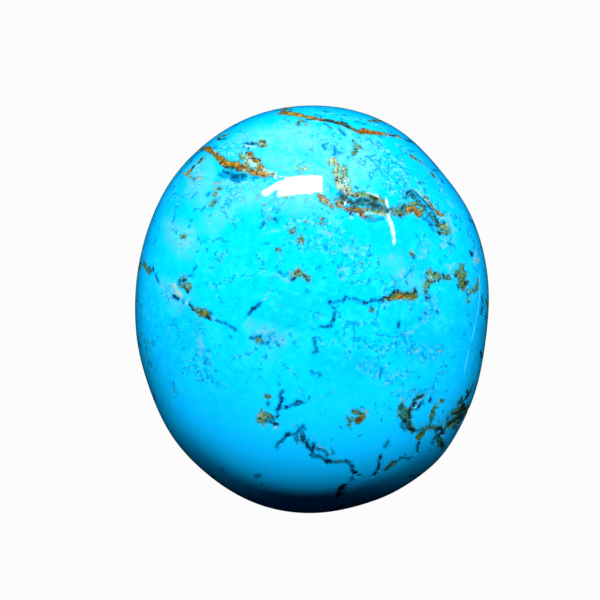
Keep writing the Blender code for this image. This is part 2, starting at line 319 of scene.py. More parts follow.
        # Painted shade: the first stroke here darkens the inside of the pit at (6.28, 2.08).
        ((625, 212, 4), (629, 202, 6), (636, 198, 4)), ((509, 137, 4), (512, 128, 3)),
        ((498, 120, 4), (495, 114, 3)), ((559, 131, 4), (562, 128, 4)),
        ((595, 100, 3), (600, 102, 5), (607, 105, 3)), ((445, 45, 5), (455, 49, 4)),
        ((665, 48, 3), (666, 20, 5), (664, 5, 4), (660, -12, 6)), ((678, -30, 4), (682, -32, 3)),
        ((658, -165, 4), (660, -180, 5), (666, -192, 4)), ((64, 30, 4), (67, 29, 3)),
        ((126, 40, 3), (130, 45, 5)), ((201, 30, 5), (206, 29, 4)),
        ((275, 45, 3), (290, 53, 3), (310, 61, 2), (322, 72, 4), (332, 73, 3)),
        ((370, 65, 3), (372, 64, 2)), ((398, 80, 4), (397, 72, 3)), ((-625, 160, 3), (-622, 150, 3)),
        ((-504, 113, 6), (-499, 112, 5)), ((-542, 50, 3), (-525, 38, 4)), ((-488, 72, 5), (-485, 71, 4)),
        ((-480, 20, 4), (-473, 12, 4), (-465, 2, 3)), ((-420, -25, 3), (-405, -33, 5), (-397, -40, 3)),
        ((-234, 1, 5), (-230, 5, 4)), ((-85, 115, 3), (-75, 117, 4), (-68, 122, 3)),
        ((79, -42, 5), (81, -43, 4)),
        ((-120, -345, 4), (-122, -360, 4), (-127, -375, 4), (-135, -390, 6), (-137, -400, 5)),
        ((-137, -400, 5), (-136, -415, 6), (-136, -427, 3)),
        ((-125, -380, 3), (-115, -380, 5), (-97, -378, 3)), ((-60, -361, 7), (-55, -363, 6)),
        # Painted shade: the first stroke here darkens the pit at (-1.38, -4.48).
        ((-145, -449, 5), (-141, -450, 4)), ((-105, -495, 4), (-95, -487, 8)),
        ((-43, -477, 7), (-38, -492, 6), (-35, -510, 7), (-25, -522, 6), (-20, -535, 5)),
        ((5, -535, 3), (0, -548, 6), (0, -558, 4)), ((50, -588, 3), (58, -593, 7), (72, -593, 5)),
        ((155, -615, 4), (155, -630, 5), (160, -642, 5), (168, -638, 5)), ((175, -650, 2), (185, -650, 2)),
        ((125, -687, 5), (115, -695, 7), (110, -710, 8), (100, -730, 11)),
        ((405, -350, 4), (415, -342, 4), (425, -338, 3)),
        ((397, -368, 3), (400, -382, 4), (410, -388, 5), (417, -375, 5), (420, -365, 4)),
        ((360, -435, 6), (368, -445, 6), (375, -455, 7), (378, -468, 6), (395, -475, 6)),
        ((460, -348, 5), (458, -360, 3)), ((488, -468, 8), (495, -470, 12), (502, -474, 8)),
        ((415, -520, 3), (410, -540, 4), (407, -555, 4)), ((605, -320, 5), (610, -335, 5), (600, -350, 6)),
        ((583, -358, 5), (586, -372, 6), (595, -378, 6)), ((600, -392, 7), (590, -398, 6), (572, -398, 5)),
        ((267, -570, 3), (265, -585, 4), (262, -605, 3.5), (257, -625, 4), (240, -648, 3)),
        ((488, -478, 12), (500, -488, 12), (512, -474, 7)),
        ((552, -410, 4), (575, -402, 5), (595, -399, 6)), ((380, -384, 4), (377, -405, 5), (380, -424, 4)),
        ((530, -452, 5), (555, -434, 4), (585, -412, 5)), ((500, -522, 5), (508, -536, 5)),
        ((596, 106, 3), (606, 105, 3)), ((-350, 560, 2), (-328, 555, 2), (-300, 553, 2), (-280, 544, 2)),
        ((-250, 630, 2), (-238, 598, 2), (-220, 576, 2)),
        ((111, 466, 1), (127, 442, 1), (143, 422, 1), (167, 410, 1)),
        ((143, 422, 1), (175, 427, 1), (207, 424, 1), (231, 410, 1), (255, 406, 1)),
        ((255, 406, 1), (283, 398, 1), (295, 382, 2)), ((223, 442, 1), (239, 432, 2), (256, 424, 1)),
        ((131, 398, 1), (151, 382, 2), (175, 380, 1), (197, 362, 2), (227, 358, 1)),
        ((360, 440, 0), (373, 460, 1), (391, 466, 1), (410, 450, 1), (431, 430, 1)),
        ((431, 430, 1), (447, 410, 1), (467, 386, 1), (479, 363, 0)),
        ((440, 402, 0), (447, 358, 0), (463, 334, 0), (491, 326, 0)),
        # Painted shade: the second stroke here darkens the inside of the pit at (6.28, 2.08).
        ((330, 368, 0), (355, 375, 1), (366, 392, 0)), ((618, 222, 5), (627, 210, 8)),
    ),
    # Dark teal seams, the usual colour of a vein that lies just under the polish.
    "teal": (
        ((10, 762, 2), (25, 756, 2.5), (33, 750, 2)), ((45, 728, 2), (65, 713, 2), (72, 705, 2)),
        ((100, 705, 2), (115, 692, 2), (128, 680, 2)), ((262, 676, 3), (275, 678, 2), (285, 674, 2)),
        ((46, 777, 3), (55, 772, 3), (70, 773, 3)), ((120, 760, 2), (135, 756, 2)),
        ((168, 735, 3), (172, 734, 3)), ((190, 730, 2), (205, 725, 2)),
        ((240, 733, 2), (250, 732, 3), (258, 730, 2)), ((295, 703, 2), (305, 697, 2), (312, 690, 2)),
        ((-395, 633, 3), (-378, 634, 3)),
        ((-348, 538, 5), (-335, 533, 6), (-320, 528, 7), (-310, 517, 12), (-298, 518, 16)),
        ((-298, 518, 16), (-285, 515, 15), (-272, 520, 12), (-262, 520, 8)),
        ((-300, 503, 8), (-285, 500, 6)), ((-362, 527, 2), (-350, 520, 3), (-338, 513, 2)),
        ((-240, 513, 3), (-225, 515, 3), (-210, 514, 2)),
        ((-530, 520, 3), (-500, 555, 4), (-480, 575, 4), (-450, 610, 3)), ((-490, 532, 4), (-488, 528, 4)),
        ((-464, 508, 3), (-458, 512, 3)), ((-412, 446, 4), (-406, 450, 3)), ((40, 640, 5), (50, 627, 4)),
        ((56, 650, 3), (60, 650, 3)), ((85, 637, 3), (88, 620, 3), (85, 605, 3)),
        ((100, 615, 4), (105, 612, 4)), ((102, 450, 7), (115, 448, 6), (108, 460, 4)),
        ((150, 412, 6), (165, 415, 6), (175, 425, 6), (190, 430, 6), (210, 428, 6)),
        ((210, 428, 6), (230, 420, 7), (240, 410, 8), (245, 400, 9), (240, 392, 7)),
        ((240, 392, 7), (225, 390, 5), (210, 398, 4)),
        ((255, 410, 2), (275, 405, 3), (285, 395, 4), (295, 382, 4), (298, 375, 3)),
        ((362, 433, 3), (368, 450, 3), (375, 462, 3), (382, 465, 3), (392, 460, 4)),
        ((392, 460, 4), (405, 450, 4), (420, 438, 4), (435, 422, 4), (445, 410, 5)),
        ((445, 410, 5), (455, 397, 5), (465, 385, 4), (472, 375, 3)),
        ((430, 360, 2), (450, 345, 3), (460, 325, 2), (475, 310, 2)),
        ((465, 545, 2), (478, 542, 3), (490, 542, 4)),
        ((488, 530, 3), (495, 520, 3), (505, 505, 4), (510, 495, 3)),
        ((455, 595, 2), (465, 583, 3), (480, 565, 2), (495, 550, 2)), ((417, 496, 4), (420, 494, 3)),
        ((393, 206, 3), (394, 200, 4)), ((538, 253, 4), (545, 252, 3)),
        ((605, 78, 3), (600, 66, 2), (608, 56, 2), (616, 62, 2)), ((567, 90, 3), (569, 84, 4)),
        ((482, -7, 4), (486, -9, 3)), ((438, -12, 4), (442, -13, 3)),
        ((65, 30, 5), (75, 22, 2), (85, 22, 3), (100, 30, 3), (115, 33, 3)),
        ((115, 33, 3), (125, 40, 3), (145, 43, 2), (160, 44, 3), (180, 37, 3)),
        ((180, 37, 3), (195, 30, 3), (210, 27, 4), (220, 30, 3), (235, 36, 4)),
        ((235, 36, 4), (250, 38, 4), (262, 37, 5), (275, 35, 5)),
        ((87, 0, 3), (88, -10, 3), (85, -30, 2), (80, -42, 6), (72, -55, 3)),
        ((72, -55, 3), (70, -65, 6), (50, -68, 3), (35, -67, 4)),
        ((5, -110, 4), (10, -135, 4), (15, -150, 3), (18, -165, 4), (2, -168, 3)),
        ((-638, 162, 5), (-630, 148, 5)), ((-515, 110, 8), (-520, 102, 5)),
        ((-485, 130, 3), (-470, 132, 3), (-465, 145, 3), (-458, 165, 3)),
        ((-612, 135, 2), (-605, 120, 2), (-600, 105, 2)), ((-400, -12, 4), (-390, -17, 4)),
        ((-375, -40, 2), (-360, -50, 2), (-345, -50, 2), (-315, -70, 2), (-295, -80, 4)),
        ((-260, -28, 2), (-245, -13, 3), (-232, 3, 5), (-220, 8, 3), (-200, 30, 2)),
        ((-242, -110, 4), (-220, -110, 6), (-203, -105, 5)),
        ((-195, -132, 4), (-180, -133, 5), (-170, -130, 4)), ((-142, -125, 2), (-130, -142, 3)),
        ((-203, 322, 3), (-193, 333, 3), (-185, 340, 2)), ((-148, 352, 5), (-135, 340, 3)),
        ((-130, 147, 2), (-122, 140, 3), (-115, 133, 2)),
        ((-7, -238, 2), (-2, -250, 3), (10, -250, 2), (25, -250, 3), (27, -260, 4)),
        ((335, -50, 3), (335, -60, 4), (333, -68, 3)), ((-176, -364, 5), (-174, -368, 4)),
        ((-115, -318, 5), (-125, -338, 5), (-120, -346, 6)),
        ((-97, -378, 3), (-85, -372, 3), (-75, -367, 5), (-58, -362, 8), (-35, -360, 2)),
        ((-160, -410, 3), (-155, -425, 4), (-150, -435, 3)),
        ((-175, -420, 3), (-165, -440, 3), (-150, -442, 3)),
        ((-138, -538, 4), (-130, -520, 5), (-115, -508, 5), (-105, -495, 5), (-93, -486, 8)),
        ((-77, -490, 4), (-63, -482, 4), (-50, -465, 3), (-38, -455, 5)), ((-66, -504, 4), (-62, -507, 4)),
        ((-20, -535, 5), (0, -544, 7), (-3, -570, 5)),
        ((5, -522, 4), (8, -535, 4), (10, -545, 3), (25, -544, 3), (40, -550, 3)),
        ((40, -550, 3), (50, -558, 2), (58, -570, 2), (50, -585, 3)),
        ((5, -562, 3), (15, -570, 7), (40, -575, 3), (50, -586, 3), (58, -593, 8)),
        ((58, -593, 8), (70, -593, 7), (85, -592, 4), (100, -590, 4), (115, -595, 4)),
        ((115, -595, 4), (130, -593, 3), (142, -595, 3), (150, -605, 3), (155, -615, 5)),
        ((157, -652, 4), (150, -670, 3)), ((120, -692, 10), (105, -722, 14)),
        ((350, -428, 3), (350, -455, 4), (360, -470, 3)), ((430, -353, 3), (433, -368, 4)),
        ((475, -508, 5), (470, -522, 5)), ((466, -420, 4), (460, -440, 4), (455, -452, 4)),
        ((405, -473, 3), (425, -467, 4), (445, -457, 4), (465, -460, 5), (485, -465, 5)),
        ((530, -422, 4), (528, -428, 5)), ((570, -410, 9), (590, -420, 11), (575, -438, 9)),
        ((295, -512, 2), (287, -530, 4), (284, -536, 3)),
        ((378, -581, 4), (355, -578, 2), (340, -583, 3), (325, -592, 4), (315, -600, 3)),
        ((-315, 525, 6), (-295, 518, 10), (-272, 516, 6)),
    ),
    # Short deep-blue flecks and hairlines.
    "blue": (
        ((-335, 546, 4), (-315, 545, 5), (-300, 535, 5)), ((-460, 450, 3), (-450, 456, 4)),
        ((-475, 430, 2), (-468, 438, 3)), ((-620, 258, 3), (-617, 265, 4), (-610, 275, 2)),
        ((-538, 365, 4), (-542, 350, 3), (-550, 342, 3)), ((-487, 315, 2), (-480, 326, 5)),
        ((-476, 346, 4), (-468, 350, 3)), ((-600, 310, 3), (-600, 315, 3)),
        ((-463, 387, 4), (-450, 392, 3)), ((-422, 398, 4), (-432, 382, 4)),
        ((-352, 397, 4), (-347, 399, 3)), ((210, 670, 3), (230, 660, 3), (233, 645, 3)),
        ((255, 655, 3), (270, 640, 3)), ((212, 595, 4), (225, 597, 5), (242, 602, 4)),
        ((260, 578, 5), (265, 577, 5)), ((308, 577, 4), (330, 570, 5)), ((343, 582, 3), (346, 580, 3)),
        ((298, 565, 3), (297, 535, 4)), ((345, 519, 3), (338, 505, 3)), ((370, 526, 3), (370, 531, 3)),
        ((328, 490, 5), (332, 494, 5)), ((302, 482, 2), (305, 475, 2), (300, 467, 2)),
        ((355, 475, 3), (358, 460, 2), (350, 450, 3)), ((375, 618, 3), (395, 620, 3)),
        ((210, 598, 2), (230, 585, 2), (250, 560, 2), (265, 545, 2), (272, 520, 2)),
        ((382, 455, 5), (384, 450, 4)), ((448, 378, 9), (460, 356, 9), (470, 336, 6)),
        ((335, 360, 4), (350, 355, 3)), ((403, 345, 5), (408, 345, 4)),
        ((210, 350, 6), (240, 348, 8), (275, 356, 6)), ((538, 256, 5), (526, 262, 3)),
        ((555, 244, 3), (557, 240, 3)), ((494, 240, 3), (497, 240, 3)), ((512, 210, 2), (522, 204, 3)),
        ((498, 182, 4), (500, 180, 3)), ((445, 32, 2), (460, 30, 2), (465, 12, 3), (469, -5, 3)),
        ((303, 135, 2), (312, 120, 2), (320, 110, 2), (322, 95, 2), (317, 82, 3)),
        ((360, 127, 3), (375, 145, 2), (385, 157, 2), (395, 165, 2)), ((365, 108, 3), (370, 97, 2)),
        ((400, 295, 2), (415, 275, 2), (422, 260, 2), (408, 240, 2)), ((417, -34, 6), (424, -37, 5)),
        ((342, -92, 2), (355, -115, 3), (366, -134, 3)), ((324, -134, 4), (327, -137, 3)),
        ((325, -169, 4), (324, -172, 3)), ((124, -141, 4), (127, -143, 3)),
        ((300, -209, 4), (302, -211, 3)), ((200, -206, 4), (198, -209, 3)),
        ((185, -220, 3), (187, -222, 2)), ((205, -236, 4), (210, -234, 3)),
        ((185, -257, 4), (187, -260, 3)), ((263, -224, 5), (270, -235, 6), (260, -270, 3)),
        ((367, -240, 4), (370, -241, 3)), ((425, -170, 3), (430, -180, 3), (440, -190, 4)),
        ((504, -142, 3), (507, -143, 3)), ((550, -182, 3), (552, -185, 3)),
        ((518, -220, 5), (524, -220, 4)), ((590, -100, 4), (594, -100, 3)), ((608, -18, 3), (612, -22, 3)),
        ((620, -58, 3), (620, -62, 3)), ((385, -145, 4), (395, -157, 3)), ((-505, 35, 6), (-505, 25, 6)),
        ((-320, -104, 5), (-317, -107, 4)), ((-476, -45, 3), (-473, -45, 3)),
        ((-612, -64, 4), (-612, -67, 3)), ((-643, 51, 3), (-643, 48, 3)),
        ((-432, -160, 3), (-400, -162, 2)), ((-358, -141, 3), (-357, -144, 3)),
        ((-410, -190, 3), (-420, -210, 4)), ((-415, -239, 4), (-412, -241, 3)),
        ((-380, -237, 4), (-377, -240, 3)), ((-615, -239, 4), (-614, -242, 3)),
        ((-257, -284, 3), (-256, -287, 3)), ((-150, -92, 4), (-175, -105, 5), (-160, -120, 4)),
        ((-180, -180, 4), (-180, -190, 3)), ((-90, -96, 4), (-88, -99, 3)),
        ((-70, -128, 5), (-68, -132, 4)), ((-165, -149, 3), (-163, -152, 3)),
        ((-130, -258, 5), (-130, -263, 4)), ((-130, -288, 6), (-128, -294, 5)),
        ((-20, 106, 4), (-19, 103, 3)), ((-20, 72, 7), (-15, 68, 6)), ((-127, 63, 3), (-126, 61, 3)),
        ((-72, 350, 3), (-68, 350, 3)), ((-100, 336, 4), (-98, 333, 3)), ((-130, 390, 3), (-135, 375, 3)),
        ((-193, 365, 4), (-190, 366, 3)), ((60, 375, 3), (64, 375, 3)), ((4, 372, 3), (7, 372, 3)),
        ((100, 313, 4), (101, 310, 3)), ((-46, 293, 4), (-44, 291, 3)), ((-189, 258, 4), (-172, 258, 4)),
        ((7, 276, 4), (8, 273, 3)), ((34, 288, 4), (37, 288, 3)), ((104, 250, 4), (107, 250, 3)),
        ((250, 271, 3), (250, 268, 3)), ((222, 250, 3), (225, 249, 3)), ((120, 210, 4), (135, 210, 3)),
        ((218, 212, 5), (235, 215, 3)), ((155, 266, 5), (156, 263, 4)), ((99, 170, 5), (102, 168, 4)),
        ((108, 130, 3), (109, 128, 3)), ((15, 158, 3), (30, 168, 5)), ((80, 186, 4), (81, 183, 3)),
        ((-38, 174, 3), (-37, 172, 3)), ((228, 13, 3), (228, 10, 3)), ((282, 6, 3), (282, 3, 3)),
        ((75, -540, 4), (80, -560, 5)), ((-14, -507, 5), (-12, -510, 4)), ((148, -464, 4), (149, -467, 3)),
        ((180, -493, 3), (190, -492, 3)), ((510, -400, 4), (512, -402, 4)),
        ((470, -303, 4), (470, -308, 3)), ((103, -86, 3), (95, -87, 4), (90, -97, 3)),
        ((-220, -652, 10), (-208, -646, 8)), ((-340, 530, 9), (-305, 520, 24), (-272, 518, 20)),
        ((-357, -622, 5), (-350, -628, 5)),
    ),
    # Pale lilac-blue patches with soft edges.
    "lilac": (
        ((-350, 500, 10), (-300, 490, 12), (-260, 498, 10)), ((-445, 560, 10), (-440, 520, 10)),
        ((-560, 345, 8), (-545, 332, 8)), ((-490, 300, 10), (-510, 280, 8), (-465, 310, 6)),
        ((-360, 460, 10), (-375, 440, 8)), ((0, 776, 3), (30, 766, 4)),
        ((115, 720, 5), (140, 695, 6), (160, 665, 6)), ((105, 590, 7), (108, 550, 7), (110, 515, 6)),
        ((132, 420, 5), (136, 414, 4)), ((155, 438, 6), (180, 440, 5), (200, 442, 5)),
        ((270, 622, 4), (280, 620, 4)), ((450, 542, 5), (460, 538, 5)),
        ((408, 510, 5), (415, 486, 5), (422, 478, 4)), ((535, 415, 8), (545, 405, 8)),
        ((530, 360, 9), (550, 315, 10), (520, 280, 10)), ((505, 248, 5), (535, 262, 4), (555, 268, 4)),
        ((440, 240, 7), (432, 200, 6)), ((435, 110, 7), (432, 70, 6)), ((530, 165, 10), (555, 170, 8)),
        ((530, 142, 7), (545, 130, 6)), ((615, 68, 7), (622, 60, 5)), ((652, 115, 4), (654, 70, 3)),
        ((450, 20, 4), (480, 2, 6), (488, -5, 5)), ((440, -13, 8), (445, -14, 7)),
        ((440, -35, 5), (425, -52, 3), (405, -70, 4), (385, -85, 4), (372, -98, 3)),
        ((395, -155, 5), (402, -166, 5)), ((275, 24, 6), (292, 22, 5)), ((415, 68, 6), (430, 72, 5)),
        ((340, 130, 8), (350, 150, 8)), ((312, 103, 4), (310, 100, 4)),
        ((310, 210, 3), (325, 190, 3), (330, 180, 3)), ((180, 160, 5), (182, 157, 5)),
        ((112, 120, 7), (118, 118, 7)), ((-205, 205, 6), (-202, 202, 5)),
        ((-200, 290, 3), (-150, 305, 3), (-120, 320, 3), (-90, 335, 3), (-50, 340, 3)),
        ((-80, 142, 10), (-60, 158, 8), (-45, 145, 8)),
        ((-615, 115, 5), (-600, 100, 5), (-575, 75, 5), (-550, 60, 6)),
        ((-542, 98, 9), (-532, 75, 13), (-518, 55, 12)), ((-445, 188, 7), (-443, 185, 6)),
        ((-390, -30, 6), (-380, -38, 5)), ((-440, -105, 8), (-425, -140, 8), (-435, -170, 7)),
        ((-170, 60, 5), (-193, 38, 4)), ((-210, -85, 8), (-195, -88, 7), (-180, -95, 5)),
        ((-150, -110, 4), (-135, -120, 5), (-115, -130, 8), (-105, -130, 5)),
        ((262, -248, 4), (260, -252, 4)), ((160, -428, 6), (158, -433, 5)),
        ((-195, -445, 8), (-175, -448, 6)), ((185, -402, 5), (215, -410, 5)),
        ((55, 360, 10), (95, 340, 12), (125, 355, 8)), ((30, 310, 8), (70, 290, 10)),
        ((130, 230, 6), (170, 220, 7), (210, 250, 4)), ((105, 160, 4), (140, 150, 6)),
        ((-130, 130, 5), (-95, 110, 6)), ((-10, 490, 20), (40, 480, 25), (50, 530, 15)),
        ((50, 715, 10), (110, 695, 12)),
    ),
    # Deep green-teal ground where copper and iron meet.
    "green": (
        ((155, 416, 7), (190, 420, 13), (230, 412, 17), (265, 400, 13), (292, 384, 6)),
        ((120, 440, 5), (135, 425, 8), (160, 410, 8)),
        ((362, 432, 4), (375, 450, 6), (390, 445, 8), (415, 420, 9), (435, 395, 7)),
        ((345, 392, 6), (360, 386, 8)), ((460, 372, 8), (478, 352, 10), (490, 338, 6)),
        ((525, -455, 13), (560, -430, 18), (590, -405, 17), (605, -380, 12)),
        ((572, -362, 7), (585, -348, 5)), ((602, -346, 7), (618, -318, 6), (630, -292, 4)),
        ((345, -375, 8), (355, -410, 16), (370, -445, 12), (388, -472, 7)),
        ((395, -360, 5), (405, -345, 5), (428, -338, 4)), ((480, -498, 6), (500, -518, 12), (510, -542, 9)),
        ((570, 145, 12), (580, 115, 12), (590, 85, 8)), ((495, 322, 10), (520, 305, 10)),
        ((-340, 555, 3), (-310, 550, 4), (-280, 540, 3)), ((295, 385, 6), (325, 382, 11), (360, 398, 11)),
        ((115, 430, 9), (150, 420, 10)),
    ),
    # A painted highlight: a thin bright line where the dome turns into the steep side, standing in for the
    # glint on that edge.
    "painted_edge_glint": (
        ((653, 132, 1), (654, 80, 1.8), (652, 30, 1.8), (643, -30, 1.8), (630, -90, 1.8)),
        ((630, -90, 1.8), (614, -150, 1.8), (600, -210, 1.6), (591, -272, 1)),
    ),
}
OPEN_KINDS = ("rust", "ochre", "dark")  # softer than the stone, so the polish undercuts them
SKIN_KINDS = ("painted_edge_glint",)  # only on the polish, so not on the back
CRISP_KINDS = ("rust", "ochre", "olive", "dark", "teal", "chalk", "painted_edge_glint")  # need the finest mesh
SOFT_KINDS = ("milk_and_sheen", "web", "lilac")  # wide and faint, so they need no finer mesh
MARK_REACH = 0.3  # how far outside a marking its depth still counts
WIDE_REACH = {"milk_and_sheen": 1.5, "web": 0.8}  # the same for the widest kinds

# Seams that cross the steep side, as lines of (direction from +X and latitude of the modelling ball, both
# in degrees, and half width in millimetres).
WALL_SEAMS = {
    "ochre": (
        ((100, 16, 0.03), (98, 9, 0.07), (96, 3, 0.10), (98, -3, 0.08), (95, -9, 0.05), (96, -20, 0.03)),
        ((125, 8, 0.08), (127, 2, 0.09), (124, -5, 0.05), (127, -12, 0.04), (126, -20, 0.03)),
        ((-34, 10, 0.08), (-32, 4, 0.11), (-34, -3, 0.07), (-30, -10, 0.05), (-31, -20, 0.03)),
    ),
    "rust": (
        ((98, 8, 0.03), (96, 2, 0.06), (98, -4, 0.03)),
        ((-33, 8, 0.04), (-32, 2, 0.06), (-33, -4, 0.03)),
        ((72, 14, 0.03), (70, 6, 0.06), (71, -2, 0.04)),
    ),
    "olive": (
        ((165, 12, 0.05), (167, 5, 0.10), (164, -2, 0.07), (167, -10, 0.04), (166, -20, 0.03)),
        ((3, 12, 0.04), (0, 4, 0.08), (2, -4, 0.06), (-1, -12, 0.03), (0, -20, 0.02)),
        ((73, 16, 0.03), (71, 8, 0.08), (69, 0, 0.09), (71, -8, 0.04), (69, -16, 0.02)),
    ),
    "dark": (
        ((-82, 10, 0.12), (-85, 5, 0.08), (-83, -1, 0.05), (-86, -8, 0.04), (-85, -20, 0.03)),
        ((60, 12, 0.03), (58, 5, 0.04), (60, -3, 0.03), (57, -12, 0.03)),
        ((128, 10, 0.03), (131, 3, 0.03), (133, -6, 0.03)),
    ),
    "teal": (
        ((-82, 12, 0.16), (-84, 5, 0.12), (-83, -2, 0.08), (-86, -14, 0.05)),
        ((-121, 12, 0.02), (-119, 5, 0.03), (-124, -3, 0.03), (-126, -10, 0.03)),
        ((-152, 12, 0.02), (-150, 6, 0.02), (-156, -4, 0.03), (-157, -18, 0.02)),
        ((30, 14, 0.03), (27, 6, 0.03), (29, -2, 0.02), (25, -12, 0.03)),
        ((-60, 16, 0.03), (-57, 8, 0.03), (-60, 0, 0.04), (-56, -12, 0.03)),
        ((192, 12, 0.02), (188, 3, 0.03), (191, -9, 0.02)),
        ((112, 10, 0.03), (114, 3, 0.04), (111, -6, 0.03), (113, -16, 0.03)),
    ),
}

# Where a seam comes out on the back, set against its place on the dome: drawn in, turned a little, shifted.
BACK_SHRINK = (0.91, 0.90)
BACK_TURN = (0.05, -0.06)
BACK_SHIFT = (0.25, -0.30)
BACK_SPREAD = 1.25  # a seam that comes out at a slant is wider

# ---- Making the mesh ----

LONGEST_STEP = 0.35  # a stroke is laid on the dome in steps no longer than this
INSIDE_RIM = 0.9999  # a stroke that runs past the widest line stops just inside it
WANDER = ((0.55, 0.030), (0.16, 0.016))  # (span, amount) of the wandering of the seams' edges
WANDER_SEED = 1  # without a seed they would wander differently at every run
SEAM_DEPTH = 0.022  # how far the softer seams lie below the polish
SEAM_EDGE = 0.03  # half the width over which they sink
BACK_LEVEL = 0.001  # a point no higher than this lies on the back
DOME_LEAN = (1, 1, 1.2)  # a place on the dome, stretched by this, points nearly straight out of it
BALL_SUBDIVISIONS = 7
COARSE_REACH = 0.05  # the first splitting goes this far beyond a seam's edge
FINE_REACH = 0.0
PROFILE_POINTS = 721  # steps along the stone's profile that measure its picture squares
DOME_ISLAND = np.array((0.435, 0.435, 0.425))  # middle and radius of the dome in the picture square
BACK_ISLAND = np.array((0.875, 0.875, 0.115))

# ---- Colours and finish ----

# The body of the stone.
SKY = "#009FDA"  # even body colour
SKY_DEEP = "#008FCC"  # deeper clouds
SKY_PALE = "#12A9DA"  # paler clouds
SKY_PAINTED_LIFT = "#04ABF0"  # painted light: a brighter, purer blue at the lower end, lifting the shade the key light leaves there
MILKY_AND_SHEEN = "#4A9892"  # cloudy, less saturated body, partly a painted sheen near the highlight
MILK_GREY_AND_SHEEN = "#3F7C76"
BLEACHED = "#42A09E"  # broken ground beside the seams
LILAC_BLUE = "#4A94A0"  # hazy patches
FLECK = "#006C96"  # specks and fine cracks
STAINED = "#0077A4"  # copper stain round a dark vein

# Dark and teal veins.
VEIN_SKIN = "#035F84"
VEIN = "#012C47"
BLUE_BLACK = "#032846"
GREEN_BLACK = "#12251E"
TEAL_GREEN = "#0C5961"
DEEP_GREEN = "#0A3B38"

# Iron: moss green to olive, ochre and rust.
GREEN_CAST = "#2E7A70"
MOSSY = "#20584A"
GREEN_STAIN = "#235F36"
OLIVE = "#38572A"
OLIVE_LIGHT = "#5E6E1C"
OLIVE_DARK = "#1F2A14"
OCHRE = "#6A5C14"
OCHRE_BRIGHT = "#986A08"
OCHRE_BROWN = "#5A3E0A"
OCHRE_DARK = "#26240C"
RUST_LIGHT = "#74480A"
RUST_DEEP = "#8A3002"
RUST_DARK = "#38180A"

# Clay, chalk and the marks of the workshop.
CLAY = "#6F7A50"
CLAY_CREAM = "#8A926C"
CHALK_WHITE = "#74948C"
CHALK_BLUE = "#4E9AA0"
EDGE_GLINT_PAINT = "#58D0E8"  # painted highlight: the glint along the edge where the dome turns into the steep side
LAPPED = "#6FB2CB"  # the ground, unpolished back

# Grain of the stone: (name, features per mm, detail, roughness, seed).
GRAIN = (
    ("broad", 0.32, 2, 0.55, 1),
    ("crack_zone", 0.6, 2, 0.55, 7),
    ("dust_zone", 0.5, 3, 0.55, 10),
    ("patchy", 1.1, 4, 0.6, 2),
    ("flow", 2.4, 3, 0.6, 11),
    ("mottle", 3.4, 3, 0.6, 3),
    ("ragged", 4.5, 4, 0.65, 5),
    ("flakes", 5.5, 3, 0.6, 8),
    ("crumbs", 9, 2, 0.6, 6),
    ("grain", 10, 2, 0.6, 4),
    ("specks", 14, 2, 0.5, 9),
)
SEED_SHIFT = (7.3, 3.1, 5.7)  # a seed moves the grain by this, in mm
SWAY_PER_MM = 3  # scale at which cells and cracks bend
CRACK_NETS = (("crackle", 2.6), ("crack", 0.6))  # (name, cells per mm)
SPECK_NETS = (("speck", 2.1), ("dust", 3.6))
# How far grain moves the edge of each marking in or out: (marking, (grain, whole travel in mm), ...).
EDGES = (
    ("milk_and_sheen", ("patchy", 1.6), ("mottle", 0.5)),
    ("web", ("patchy", 0.9), ("mottle", 0.3)),
    ("lilac", ("ragged", 0.5), ("mottle", 0.4)),
    ("blue", ("ragged", 0.16)),
    ("teal", ("ragged", 0.22), ("crumbs", 0.16)),
    ("dark", ("ragged", 0.16), ("crumbs", 0.14)),
    ("green", ("ragged", 0.34), ("crumbs", 0.22)),
    ("olive", ("ragged", 0.30), ("crumbs", 0.20)),
    ("ochre", ("ragged", 0.22), ("crumbs", 0.10)),
    ("rust", ("ragged", 0.20), ("crumbs", 0.10)),
    ("beige", ("ragged", 0.30), ("crumbs", 0.14)),
    ("chalk", ("ragged", 0.22), ("crumbs", 0.10)),
    ("painted_edge_glint",),
)
# Patterns that are the greatest of others.
JOINED = (("iron", "ochre", "olive", "green"), ("copper", "teal", "dark"), ("seam", "iron", "beige"))
DUST_GAIN = (3, -1.65)  # times and plus, so that dust starts where its zone reaches 0.55
DRIFT_WANDER = 4  # the slow change of tone along the stone strays this far, in mm, with the broad grain
LAPPED_BAND = (0.06, 0.03)  # heights between which the polish turns into the lapped back

# The tables below are coats, laid one on the other: (tone, ramp, ramp, ...). A ramp is (pattern, where it
# starts, where it is full, least share, greatest share), and the coat is as thick as the product of its
# ramps. The pattern of a marking is its depth in mm, so 0 is its edge.
BODY = (
    (SKY_DEEP, ("broad", 0.48, 0.72, 0, 0.7)),
    (SKY_PALE, ("patchy", 0.48, 0.70, 0, 0.6)),
    (SKY_DEEP, ("mottle", 0.50, 0.70, 0, 0.7)),
    (SKY_PALE, ("mottle", 0.48, 0.30, 0, 0.6)),
    (SKY_DEEP, ("grain", 0.50, 0.68, 0, 0.45)),
    (SKY_DEEP, ("drift", 0, 6, 0, 0.5)),
    # Painted light: the lower end is made brighter, lifting the shade the key light leaves there.
    (SKY_PAINTED_LIFT, ("drift", -1, -5.5, 0, 0.85)),
    # Milky clouds, partly real and partly a painted sheen in the upper part where the key light falls.
    (MILKY_AND_SHEEN, ("milk_and_sheen", -0.5, 0.7, 0, 0.8), ("mottle", 0.35, 0.6, 0.4, 1)),
    (MILK_GREY_AND_SHEEN, ("milk_and_sheen", -0.4, 0.3, 0, 0.7), ("flakes", 0.56, 0.63)),
)
